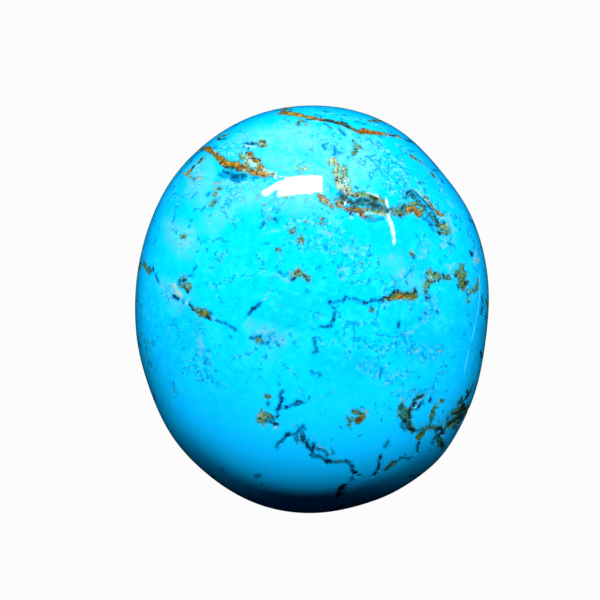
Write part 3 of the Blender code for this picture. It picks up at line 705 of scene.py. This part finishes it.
# Beside the seams the stone is broken into bleached crumbs with deep-blue hairlines between them. Specks
# lie everywhere, and in places a row of them follows an old crack.
BROKEN_GROUND = (
    (BLEACHED, ("web", -0.15, 0.15), ("ragged", 0.50, 0.62, 0, 0.75)),
    (SKY_DEEP, ("web", -0.15, 0.15), ("flakes", 0.52, 0.40, 0, 0.7)),
    (FLECK, ("web", -0.15, 0.15), ("crackle", 0.10, 0.02, 0, 0.6), ("flakes", 0.46, 0.58)),
    (FLECK, ("web", -0.15, 0.15), ("flow", 0.46, 0.50), ("flow", 0.54, 0.50, 0, 0.5)),
    (CHALK_BLUE, ("web", -0.15, 0.15), ("drift", 2.5, 4.5, 0.12, 1), ("crumbs", 0.57, 0.63)),
    (FLECK, ("speck_pick", 0.55, 0.57), ("speck_reach", 0.11, 0.03, 0, 0.7)),
    (FLECK, ("dust_pick", 0.50, 0.52), ("dust_reach", 0.30, 0.14, 0, 0.95), ("dusty", -0.15, 0.15)),
    (
        BLEACHED,
        ("crack_zone", 0.48, 0.56),
        ("along", -4, -2.8),
        ("crack", 0.08, 0.01, 0, 0.4),
        ("ragged", 0.5, 0.6),
    ),
    (
        FLECK,
        ("crack_zone", 0.48, 0.56),
        ("along", -4, -2.8),
        ("crack", 0.05, 0.015, 0, 0.8),
        ("crumbs", 0.46, 0.54),
    ),
    (LILAC_BLUE, ("lilac", -0.08, 0.06, 0, 0.7), ("flakes", 0.36, 0.52)),
    (FLECK, ("blue", -0.06, 0.03, 0, 0.9)),
)
CASTS = (
    (GREEN_CAST, ("iron", -0.17, -0.06, 0, 0.75), ("flakes", 0.42, 0.56)),
    (MOSSY, ("iron", -0.08, -0.02, 0, 0.9), ("specks", 0.38, 0.50)),
    (STAINED, ("copper", -0.14, -0.01, 0, 0.85), ("flakes", 0.40, 0.56)),
)
# What each mineral is: its own tone, then the coats over it. A coat's tone can be an earlier mineral.
MINERALS = {
    "beige": (
        CLAY,
        (CLAY_CREAM, ("flakes", 0.42, 0.56)),
        (OCHRE_BROWN, ("crumbs", 0.55, 0.63, 0, 0.45)),
        (GREEN_CAST, ("beige", 0.03, -0.03)),
    ),
    "chalk": (CHALK_WHITE, (CHALK_BLUE, ("flakes", 0.48, 0.58))),
    "teal": (VEIN_SKIN, (VEIN, ("teal", -0.01, 0.07), ("flakes", 0.36, 0.52))),
    "green": (
        TEAL_GREEN,
        (DEEP_GREEN, ("flakes", 0.44, 0.56)),
        (VEIN_SKIN, ("ragged", 0.52, 0.60, 0, 0.7)),
    ),
    "olive": (
        OLIVE,
        (OLIVE_LIGHT, ("flakes", 0.42, 0.56)),
        (GREEN_STAIN, ("ragged", 0.50, 0.60)),
        (OLIVE_DARK, ("crumbs", 0.52, 0.60)),
        (CLAY, ("specks", 0.56, 0.64, 0, 0.5)),
        (GREEN_STAIN, ("drift", -0.5, -2.5, 0, 0.75)),
    ),
    "ochre": (
        OCHRE,
        (OCHRE_BRIGHT, ("flakes", 0.44, 0.58)),
        (OCHRE_BROWN, ("ragged", 0.50, 0.60)),
        (OCHRE_DARK, ("crumbs", 0.55, 0.62, 0, 0.9)),
        (CLAY_CREAM, ("specks", 0.62, 0.68, 0, 0.3)),
        ("olive", ("drift", 4.6, 2.6, 0, 0.75)),
        (OLIVE_DARK, ("ochre", 0.01, -0.04)),
    ),
    "rust": (
        RUST_LIGHT,
        (RUST_DEEP, ("rust", 0.02, 0.06), ("flakes", 0.40, 0.52)),
        ("ochre", ("ragged", 0.52, 0.58, 0, 0.9)),
        (RUST_DARK, ("crumbs", 0.56, 0.64, 0, 0.9)),
        (RUST_DARK, ("drift", 0, -3, 0, 0.7)),
    ),
    "dark": (BLUE_BLACK, (GREEN_BLACK, ("iron", -0.28, -0.10))),
}
SEAMS = (
    ("beige", ("beige", -0.07, 0, 0, 0.9), ("specks", 0.34, 0.46, 0.4, 1)),
    ("chalk", ("chalk", -0.04, 0.03, 0, 0.9), ("specks", 0.36, 0.46, 0.3, 1)),
    ("teal", ("teal", -0.055, 0.01, 0, 0.95)),
    ("green", ("green", -0.06, 0.03, 0, 0.92), ("specks", 0.38, 0.48, 0.3, 1)),
    ("olive", ("olive", -0.05, 0.03, 0, 0.95), ("specks", 0.40, 0.48, 0.2, 1)),
    ("ochre", ("ochre", -0.045, 0.015)),
    ("rust", ("rust", -0.02, 0.04)),
    (GREEN_BLACK, ("seam", -0.05, 0.01, 0, 0.9), ("flow", 0.46, 0.50), ("flow", 0.54, 0.50)),
    ("dark", ("dark", -0.06, 0.01), ("flakes", 0.38, 0.50, 0.35, 1)),
    # Painted highlight: the bright line of the glint along the dome's edge.
    (EDGE_GLINT_PAINT, ("painted_edge_glint", -0.02, 0.012, 0, 0.85)),
    (LAPPED, ("lapped", 0, 1, 0, 0.35)),
)
# Where the surface is softer than the stone, and so a little dull.
DULL = (
    ("ochre", -0.02, 0.03),
    ("olive", -0.02, 0.03, 0, 0.7),
    ("dark", -0.02, 0.02, 0, 0.8),
    ("chalk", -0.02, 0.03, 0, 0.8),
)
POLISH_ROUGHNESS = (0.02, 0.04)  # between these, with the grain
DULL_ROUGHNESS = 0.3  # added where it is dull
LAPPED_ROUGHNESS = 0.45  # added on the back
TURQUOISE_IOR = 1.61
SCRATCH_STRETCH = (1, 14, 1)  # the lap's scratches run along X
SCRATCHES_PER_MM = 2.5
ORANGE_PEEL = 0.06  # how much the fine grain shows through the polish
RELIEF_DEPTH = 0.03  # of dull spots and scratches, in mm
RELIEF_STRENGTH = 0.5

# ---- Studio sizes ----

TABLE_WIDTH = 2000
TABLE_GAP = 0.05  # the table lies this far below the back
TABLE_GLOW = 0.97
WALL_RADIUS = 1200
WALL_GLOW = 0.9
LIGHTS_AWAY = 150
LIT_HEIGHT = 3  # the lights face a point this far above the table
AIM = (-0.49, 0.37)  # where the camera looks
FIELD = 23.53  # height of the camera's field at the widest line
LENS = 1000
SENSOR = 36



# ---- Shape ----


def outline_radius(angle):
    """Distance from the middle to the widest line, for an array of directions in radians."""
    across = np.abs(np.cos(angle)) / (WIDTH / 2)
    along = np.abs(np.sin(angle)) / (LENGTH / 2)
    radius = (across**OUTLINE_POWER + along**OUTLINE_POWER) ** (-1 / OUTLINE_POWER)
    for direction, half_width, depth in OUTLINE_FLATS:
        away = (np.degrees(angle) - direction + 180) % 360 - 180
        radius = radius - depth * np.exp(-((away / half_width) ** 2))
    return radius


def on_stone(ball):
    """Points of the cut stone for points of a ball of radius 1: dome, rounded edge and flat back."""
    angle = np.arctan2(ball[:, 1], ball[:, 0])
    flat = np.hypot(ball[:, 0], ball[:, 1])
    latitude = np.arctan2(ball[:, 2], flat)
    rim = outline_radius(angle)

    up = np.clip(latitude, 0, pi / 2)
    radius = rim * np.cos(up) ** (2 / DOME_POWER)
    height = GIRDLE + (HEIGHT - GIRDLE) * np.sin(up) ** (2 / DOME_POWER)

    turn = pi / 2 * np.clip(latitude / BACK_EDGE, 0, 1)
    under = latitude < 0
    radius = np.where(under, rim - BEVEL * (1 - np.abs(np.cos(turn)) ** (2 / BEVEL_POWER)), radius)
    height = np.where(under, GIRDLE * (1 - np.abs(np.sin(turn)) ** (2 / BEVEL_POWER)), height)
    back = latitude < BACK_EDGE
    radius = np.where(back, (rim - BEVEL) * flat / cos(BACK_EDGE), radius)
    return np.stack((radius * np.cos(angle), radius * np.sin(angle), height), axis=1)


def waved(points):
    """The points moved by the slow unevenness of the polish, which fades out at the widest line."""
    strength = np.clip((points[:, 2] - GIRDLE) / (HEIGHT - GIRDLE), 0, 1)
    swell = np.array([noise.noise(Vector(point) / WAVE_SPAN) for point in points])
    away = np.maximum(np.linalg.norm(points, axis=1, keepdims=True), GIRDLE)  # never 0 on the back
    outward = points / away
    return points + outward * (WAVE_DEPTH * swell * strength)[:, None]


def dome_height(x, y):
    """Height of the dome above places on the back."""
    share = np.hypot(x, y) / outline_radius(np.arctan2(y, x))
    dome = (1 - np.clip(share, 0, INSIDE_RIM) ** DOME_POWER) ** (1 / DOME_POWER)
    return GIRDLE + (HEIGHT - GIRDLE) * dome


def pitted(points):
    """The points with the open pits bitten out: whatever is inside a pit's ball goes to the ball's skin."""
    for x, y, radius in PITS:
        surface = np.array((x, y, float(dome_height(x, y))))
        centre = surface + surface / np.linalg.norm(surface) * radius * (1 - PIT_DEPTH)
        away = points - centre
        distance = np.linalg.norm(away, axis=1, keepdims=True)
        points = np.where(distance < radius, centre + away / distance * radius, points)
    return points


def on_the_dome(strokes):
    """Segments of the strokes, laid on the dome. A segment is two ends (x, y, height, half width)."""
    segments = []
    for stroke in strokes:
        line = np.array(stroke) / STROKE_UNITS_PER_MM
        for (x1, y1, w1), (x2, y2, w2) in zip(line, line[1:]):
            steps = max(1, round(hypot(x2 - x1, y2 - y1) / LONGEST_STEP))
            for step in range(steps):
                ends = []
                for share in (step / steps, (step + 1) / steps):
                    x = x1 + (x2 - x1) * share
                    y = y1 + (y2 - y1) * share
                    ends.append((x, y, float(dome_height(x, y)), w1 + (w2 - w1) * share))
                segments.append(ends)
    return np.array(segments)


def on_the_back(segments):
    """The dome's segments where they come out on the back: they run down through the stone at a slant."""
    out = segments.copy()
    x, y = segments[:, :, 0], segments[:, :, 1]
    out[:, :, 0] = x * BACK_SHRINK[0] + y * BACK_TURN[0] + BACK_SHIFT[0]
    out[:, :, 1] = y * BACK_SHRINK[1] + x * BACK_TURN[1] + BACK_SHIFT[1]
    out[:, :, 2] = 0
    out[:, :, 3] = segments[:, :, 3] * BACK_SPREAD
    return out


def down_the_wall(seams):
    """Segments of the seams that cross the steep side."""
    segments = []
    for seam in seams:
        bearing, latitude, width = np.array(seam, float).T
        turn, tilt = np.radians(bearing), np.radians(latitude)
        ball = np.stack((np.cos(turn) * np.cos(tilt), np.sin(turn) * np.cos(tilt), np.sin(tilt)), axis=1)
        line = np.column_stack((on_stone(ball), width))
        segments += [(line[i], line[i + 1]) for i in range(len(line) - 1)]
    return np.array(segments)


def laid_markings():
    """The segments of every kind of marking, all over the stone."""
    laid = {}
    for kind, strokes in MARKINGS.items():
        front = on_the_dome(strokes)
        laid[kind] = front if kind in SKIN_KINDS else np.concatenate((front, on_the_back(front)))
    for kind, seams in WALL_SEAMS.items():
        laid[kind] = np.concatenate((laid[kind], down_the_wall(seams)))
    return laid


def depth_in(segments, points, reach=MARK_REACH):
    """How deep each point lies inside the segments: above 0 inside, below 0 outside, down to -reach."""
    depth = np.full(len(points), -reach)
    for start, end in segments:
        widest = max(start[3], end[3]) + reach
        low = np.minimum(start[:3], end[:3]) - widest
        high = np.maximum(start[:3], end[:3]) + widest
        near = np.nonzero(np.all((points > low) & (points < high), axis=1))[0]
        if len(near) == 0:
            continue
        run = end[:3] - start[:3]
        length_squared = run @ run or 1  # a pit's two ends are one point
        share = np.clip((points[near] - start[:3]) @ run / length_squared, 0, 1)
        gap = np.linalg.norm(points[near] - start[:3] - share[:, None] * run, axis=1)
        here = start[3] + (end[3] - start[3]) * share - gap
        depth[near] = np.maximum(depth[near], here)
    return depth


def wandered(points):
    """The points shifted a few hundredths, so that the edges of the strokes wander as real seams do."""
    noise.seed_set(WANDER_SEED)
    shift = np.zeros_like(points)
    for span, amount in WANDER:
        shift += amount * np.array([noise.noise_vector(Vector(point) / span) for point in points])
    return points + shift


def refined_ball(levels):
    """A ball of small triangles, split again wherever it comes within reach of each level's segments."""
    ball = bmesh.new()
    bmesh.ops.create_icosphere(ball, subdivisions=BALL_SUBDIVISIONS, radius=1)
    for segments, reach in levels:
        middles = np.array([face.calc_center_median() for face in ball.faces])
        chosen = depth_in(segments, on_stone(middles)) > -reach
        edges = {edge for face, take in zip(ball.faces, chosen) if take for edge in face.edges}
        bmesh.ops.subdivide_edges(ball, edges=list(edges), cuts=1, use_grid_fill=True)
        bmesh.ops.triangulate(ball, faces=ball.faces[:])
        for vert in ball.verts:
            vert.co.normalize()
    mesh = bpy.data.meshes.new("turquoise")
    ball.to_mesh(mesh)
    ball.free()
    return mesh


def lay_uvs(mesh, ball):
    """One island for the dome and its edge, and a smaller one in the corner for the back."""
    tilts = np.linspace(pi / 2, -pi / 2, PROFILE_POINTS)
    profile = on_stone(np.stack([(cos(tilt), 0, sin(tilt)) for tilt in tilts]))
    steps = np.linalg.norm(np.diff(profile, axis=0), axis=1)
    run = np.concatenate(((0,), np.cumsum(steps)))
    latitude = np.arcsin(np.clip(ball[:, 2], -1, 1))
    walked = np.interp(-latitude, -tilts, run)
    edge = np.interp(-BACK_EDGE, -tilts, run)
    bearing = np.arctan2(ball[:, 1], ball[:, 0])
    around = np.stack((np.cos(bearing), np.sin(bearing)), axis=1)
    dome = DOME_ISLAND[:2] + around * (walked / edge * DOME_ISLAND[2])[:, None]
    left = (run[-1] - walked) / (run[-1] - edge)
    back = BACK_ISLAND[:2] + around * (left * BACK_ISLAND[2])[:, None]

    corners = np.zeros(len(mesh.loops), int)
    mesh.loops.foreach_get("vertex_index", corners)
    triangles = corners.reshape(-1, 3)
    is_back = latitude[triangles].mean(axis=1) < BACK_EDGE
    places = np.where(np.repeat(is_back, 3)[:, None], back[corners], dome[corners])
    layer = mesh.uv_layers.new(name="OFBake")
    layer.uv.foreach_set("vector", places.astype(np.float32).ravel())


def sinking(points, depths):
    """The small step inwards, for each point, that puts the softer seams below the polish."""
    deepest = np.max([depths[kind] for kind in OPEN_KINDS], axis=0)
    amount = SEAM_DEPTH * np.clip((deepest + SEAM_EDGE) / (2 * SEAM_EDGE), 0, 1)
    outward = np.where(points[:, 2:] > BACK_LEVEL, points * DOME_LEAN, (0, 0, -1))
    outward = outward / np.linalg.norm(outward, axis=1, keepdims=True)
    return outward * -amount[:, None]


def make_stone():
    """The visible stone: the cut shape with its seams and pits, and each marking's depth stored on it."""
    laid = laid_markings()
    pits = np.array([[(x, y, float(dome_height(x, y)), radius)] * 2 for x, y, radius in PITS])
    fine = np.concatenate([pits] + [laid[kind] for kind in MARKINGS if kind not in SOFT_KINDS])
    finest = np.concatenate([pits] + [laid[kind] for kind in CRISP_KINDS])
    mesh = refined_ball(((fine, COARSE_REACH), (finest, FINE_REACH)))

    ball = np.zeros(len(mesh.vertices) * 3)
    mesh.vertices.foreach_get("co", ball)
    ball = ball.reshape(-1, 3)
    lay_uvs(mesh, ball)
    smooth = waved(on_stone(ball))
    sought = wandered(smooth)
    depths = {}
    for kind, segments in laid.items():
        depths[kind] = depth_in(segments, sought, WIDE_REACH.get(kind, MARK_REACH))
        layer = mesh.attributes.new(kind, "FLOAT", "POINT")
        layer.data.foreach_set("value", depths[kind].astype(np.float32))

    points = pitted(smooth) + sinking(smooth, depths)
    low, high = (np.array(corner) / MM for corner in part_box("turquoise_cabochon"))
    points = low + (points - points.min(axis=0)) / np.ptp(points, axis=0) * (high - low)
    mesh.vertices.foreach_set("co", (points * MM).ravel())
    mesh.shade_smooth()
    mesh.update()
    stone = bpy.data.objects.new("turquoise", mesh)
    bpy.context.scene.collection.objects.link(stone)
    return stone


# ---- Material ----


def colour(code):
    """Linear colour of an sRGB hex code."""
    values = [int(code[i : i + 2], 16) / 255 for i in (1, 3, 5)]
    return tuple(v / 12.92 if v <= 0.04045 else ((v + 0.055) / 1.055) ** 2.4 for v in values) + (1,)


def add(tree, kind, links=(), **settings):
    """A shader node with its settings, and the values or links that go into its sockets."""
    made = tree.nodes.new(kind)
    for name, value in settings.items():
        setattr(made, name, value)
    for socket, value in dict(links).items():
        if isinstance(value, bpy.types.NodeSocket):
            tree.links.new(value, made.inputs[socket])
        else:
            made.inputs[socket].default_value = value
    return made


def ramped(tree, patterns, ramps):
    """The product of the ramps, as one share from 0 to 1."""
    share = None
    for name, start, full, *limits in ramps:
        least, greatest = limits or (0, 1)
        links = {"Value": patterns[name], "From Min": start, "From Max": full}
        links.update({"To Min": least, "To Max": greatest})
        ramp = add(tree, "ShaderNodeMapRange", links, interpolation_type="SMOOTHSTEP").outputs[0]
        if share is not None:
            ramp = add(tree, "ShaderNodeMath", {0: share, 1: ramp}, operation="MULTIPLY").outputs[0]
        share = ramp
    return share


def coated(tree, patterns, minerals, under, coats):
    """The colour under, with the coats laid over it in turn. A tone is a hex code or a mineral's name."""
    for tone, *ramps in coats:
        top = minerals[tone] if tone in minerals else colour(tone)
        links = {0: ramped(tree, patterns, ramps), 6: under, 7: top}
        under = add(tree, "ShaderNodeMix", links, data_type="RGBA").outputs[2]
    return under


def grain_patterns(tree, place):
    """The stone's grain, and the cells and cracks that its specks follow, by name."""
    patterns = {}
    for name, per_mm, detail, rough, seed in GRAIN:
        shifted = {0: place, 1: [seed * shift for shift in SEED_SHIFT]}
        shifted = add(tree, "ShaderNodeVectorMath", shifted).outputs[0]
        links = {"Vector": shifted, "Scale": per_mm, "Detail": detail, "Roughness": rough}
        patterns[name] = add(tree, "ShaderNodeTexNoise", links).outputs["Fac"]

    sway = {"Vector": place, "Scale": SWAY_PER_MM, "Detail": 3}
    sway = add(tree, "ShaderNodeTexNoise", sway).outputs["Color"]
    swayed = {0: sway, 1: (0.5, 0.5, 0.5), 2: place}
    swayed = add(tree, "ShaderNodeVectorMath", swayed, operation="MULTIPLY_ADD").outputs[0]
    for name, per_mm in CRACK_NETS:
        links = {"Vector": swayed, "Scale": per_mm}
        cells = add(tree, "ShaderNodeTexVoronoi", links, feature="DISTANCE_TO_EDGE")
        patterns[name] = cells.outputs["Distance"]
    for name, per_mm in SPECK_NETS:
        cells = add(tree, "ShaderNodeTexVoronoi", {"Vector": swayed, "Scale": per_mm})
        picked = add(tree, "ShaderNodeSeparateColor", {0: cells.outputs["Color"]})
        patterns[name + "_pick"] = picked.outputs[0]
        patterns[name + "_reach"] = cells.outputs["Distance"]
    return patterns


def marking_patterns(tree, patterns):
    """The depth of each marking in mm, with a ragged edge, and what is worked out from those depths."""
    for name, *travels in EDGES:
        depth = add(tree, "ShaderNodeAttribute", attribute_name=name).outputs["Fac"]
        for grain, travel in travels:
            links = {0: patterns[grain], 1: travel, 2: depth}
            depth = add(tree, "ShaderNodeMath", links, operation="MULTIPLY_ADD").outputs[0]
        half = sum(travel for grain, travel in travels) / 2
        patterns[name] = add(tree, "ShaderNodeMath", {0: depth, 1: half}, operation="SUBTRACT").outputs[0]
    for name, first, *others in JOINED:
        patterns[name] = patterns[first]
        for other in others:
            links = {0: patterns[name], 1: patterns[other]}
            patterns[name] = add(tree, "ShaderNodeMath", links, operation="MAXIMUM").outputs[0]
    dusty = {0: patterns["dust_zone"], 1: DUST_GAIN[0], 2: DUST_GAIN[1]}
    dusty = add(tree, "ShaderNodeMath", dusty, operation="MULTIPLY_ADD").outputs[0]
    dusty = add(tree, "ShaderNodeMath", {0: dusty, 1: patterns["web"]}, operation="MAXIMUM")
    patterns["dusty"] = dusty.outputs[0]


def place_patterns(tree, patterns, place):
    """What changes with the place on the stone: along it, up it, and where the lapped back starts."""
    axes = add(tree, "ShaderNodeSeparateXYZ", {0: place})
    patterns["along"] = axes.outputs["Y"]
    patterns["height"] = axes.outputs["Z"]
    drift = {0: patterns["broad"], 1: DRIFT_WANDER, 2: patterns["along"]}
    drift = add(tree, "ShaderNodeMath", drift, operation="MULTIPLY_ADD").outputs[0]
    drift = add(tree, "ShaderNodeMath", {0: drift, 1: DRIFT_WANDER / 2}, operation="SUBTRACT")
    patterns["drift"] = drift.outputs[0]
    patterns["lapped"] = ramped(tree, patterns, (("height", *LAPPED_BAND),))


def polished_turquoise():
    """Turquoise, ground and polished: sky-blue stone, waxy inside and glassy on top, with its seams of
    ochre, rust, clay and dark copper. Its flat back is lapped: paler, dull and finely scratched.
    """
    material = bpy.data.materials.new("polished_turquoise")
    material.use_nodes = True
    tree = material.node_tree
    shader = tree.nodes["Principled BSDF"]
    place = {0: add(tree, "ShaderNodeTexCoord").outputs["Object"], 1: (1 / MM, 1 / MM, 1 / MM)}
    place = add(tree, "ShaderNodeVectorMath", place, operation="MULTIPLY").outputs[0]
    patterns = grain_patterns(tree, place)
    place_patterns(tree, patterns, place)
    marking_patterns(tree, patterns)

    minerals = {}
    for name, (own, *coats) in MINERALS.items():
        minerals[name] = coated(tree, patterns, minerals, colour(own), coats)
    base = coated(tree, patterns, minerals, colour(SKY), BODY + BROKEN_GROUND + CASTS + SEAMS)
    tree.links.new(base, shader.inputs["Base Color"])

    dull = 0
    for ramp in DULL:
        links = {0: dull, 1: ramped(tree, patterns, (ramp,))}
        dull = add(tree, "ShaderNodeMath", links, operation="MAXIMUM").outputs[0]
    shine = ramped(tree, patterns, (("grain", 0.3, 0.7, *POLISH_ROUGHNESS),))
    for where, rough in ((dull, DULL_ROUGHNESS), (patterns["lapped"], LAPPED_ROUGHNESS)):
        shine = {0: where, 1: rough, 2: shine}
        shine = add(tree, "ShaderNodeMath", shine, operation="MULTIPLY_ADD").outputs[0]
    tree.links.new(shine, shader.inputs["Roughness"])
    shader.inputs["IOR"].default_value = TURQUOISE_IOR

    across = add(tree, "ShaderNodeVectorMath", {0: place, 1: SCRATCH_STRETCH}, operation="MULTIPLY")
    scratches = {"Vector": across.outputs[0], "Scale": SCRATCHES_PER_MM}
    scratches = add(tree, "ShaderNodeTexNoise", scratches).outputs["Fac"]
    fine_grain = (patterns["grain"], ORANGE_PEEL)
    relief = 0
    for grain, where in ((patterns["crumbs"], dull), (scratches, patterns["lapped"]), fine_grain):
        relief = {0: grain, 1: where, 2: relief}
        relief = add(tree, "ShaderNodeMath", relief, operation="MULTIPLY_ADD").outputs[0]
    bump = {"Height": relief, "Strength": RELIEF_STRENGTH, "Distance": RELIEF_DEPTH * MM}
    bump = add(tree, "ShaderNodeBump", bump)
    tree.links.new(bump.outputs["Normal"], shader.inputs["Normal"])
    return material


def glowing(name, strength):
    """A plain white surface that looks evenly bright from anywhere."""
    material = bpy.data.materials.new(name)
    material.use_nodes = True
    tree = material.node_tree
    tree.nodes.clear()
    glow = add(tree, "ShaderNodeEmission", {"Strength": strength})
    add(tree, "ShaderNodeOutputMaterial", {"Surface": glow.outputs[0]})
    return material


# ---- Studio ----


def toward(side, lean):
    """Direction seen from the stone: degrees to the right of straight up, and degrees away (+Y)."""
    side, lean = radians(side), radians(lean)
    return Vector((sin(side), sin(lean) * cos(side), cos(lean) * cos(side)))


def soft_light(name, start, end, breadth, radiance, mirrored=False, tint=(1, 1, 1)):
    """A flat soft light that faces the stone. It reaches from start to end, each (side, lean), and is
    breadth degrees wide. One that is mirrored only shows as a shine, and the others only brighten.
    """
    first, last = toward(*start), toward(*end)
    middle = (first + last).normalized()
    along = (last - first).normalized()
    data = bpy.data.lights.new(name, "AREA")
    data.shape = "RECTANGLE"
    data.size = 2 * tan(radians(breadth / 2)) * LIGHTS_AWAY * MM
    data.size_y = (last - first).length * LIGHTS_AWAY * MM
    data.energy = radiance * pi * data.size * data.size_y
    data.color = tint
    light = bpy.data.objects.new(name, data)
    light.location = Vector((0, 0, LIT_HEIGHT * MM)) + middle * LIGHTS_AWAY * MM
    light.rotation_mode = "QUATERNION"
    light.rotation_quaternion = Matrix((along.cross(middle), along, middle)).transposed().to_quaternion()
    light.visible_camera = False
    light.visible_glossy = mirrored
    light.visible_diffuse = not mirrored
    bpy.context.scene.collection.objects.link(light)


def make_lights():
    """A window that mirrors in the dome, a strong soft light above it, and weaker ones round it."""
    soft_light("window", (-4.4, 35.6), (-4.4, 46.8), 15.3, 34, mirrored=True)
    soft_light("window_wing", (-18.4, 39.4), (-11.0, 43.6), 3.6, 34, mirrored=True)
    soft_light("window_slit", (34.5, 44.6), (29.6, 24.5), 0.6, 34, mirrored=True)
    soft_light("key", (0, 30), (0, 38), 26, 130)
    soft_light("left_rim", (-44, 68), (-54, 80), 20, 24)
    soft_light("right_rim", (44, 68), (54, 80), 20, 15)
    soft_light("left_side", (-50, 34), (-56, 58), 16, 15)
    soft_light("right_side", (50, 34), (56, 58), 16, 23)
    soft_light("front_fill", (0, -70), (0, -88), 60, 0.22, tint=(0.45, 0.55, 1))
    world = bpy.data.worlds.new("dark_room")
    world.use_nodes = True
    world.node_tree.nodes["Background"].inputs["Color"].default_value = (0, 0, 0, 1)
    bpy.context.scene.world = world


def plain_thing(name, mesh, glow):
    """Something pale that is only seen: it neither lights the stone nor mirrors in it."""
    mesh.materials.append(glowing("pale_" + name, glow))
    thing = bpy.data.objects.new(name, mesh)
    thing.visible_diffuse = False
    thing.visible_glossy = False
    bpy.context.scene.collection.objects.link(thing)
    return thing


def make_surroundings():
    """A plain pale table that the stone lies on, inside a plain pale round room."""
    half = TABLE_WIDTH * MM / 2
    corners = [(x * half, y * half, -TABLE_GAP * MM) for x, y in ((-1, -1), (1, -1), (1, 1), (-1, 1))]
    mesh = bpy.data.meshes.new("table")
    mesh.from_pydata(corners, [], [(0, 1, 2, 3)])
    table = plain_thing("table", mesh, TABLE_GLOW)

    ball = bmesh.new()
    bmesh.ops.create_uvsphere(ball, u_segments=48, v_segments=24, radius=WALL_RADIUS * MM)
    mesh = bpy.data.meshes.new("backdrop")
    ball.to_mesh(mesh)
    ball.free()
    mesh.shade_smooth()
    backdrop = plain_thing("backdrop", mesh, WALL_GLOW)
    backdrop.visible_shadow = False


def make_camera():
    """Straight above the stone, a little off its middle, with a long lens."""
    data = bpy.data.cameras.new("camera")
    data.sensor_width = SENSOR
    data.lens = LENS
    data.clip_start, data.clip_end = 0.01, 10
    camera = bpy.data.objects.new("camera", data)
    camera.location = (AIM[0] * MM, AIM[1] * MM, (GIRDLE + FIELD * LENS / SENSOR) * MM)
    bpy.context.scene.collection.objects.link(camera)
    bpy.context.scene.camera = camera


def main():
    stone = make_stone()
    stone.data.materials.append(polished_turquoise())
    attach(stone, "root")
    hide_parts("turquoise_cabochon")
    make_surroundings()
    make_lights()
    make_camera()
    bpy.context.scene.view_settings.view_transform = "Standard"


main()
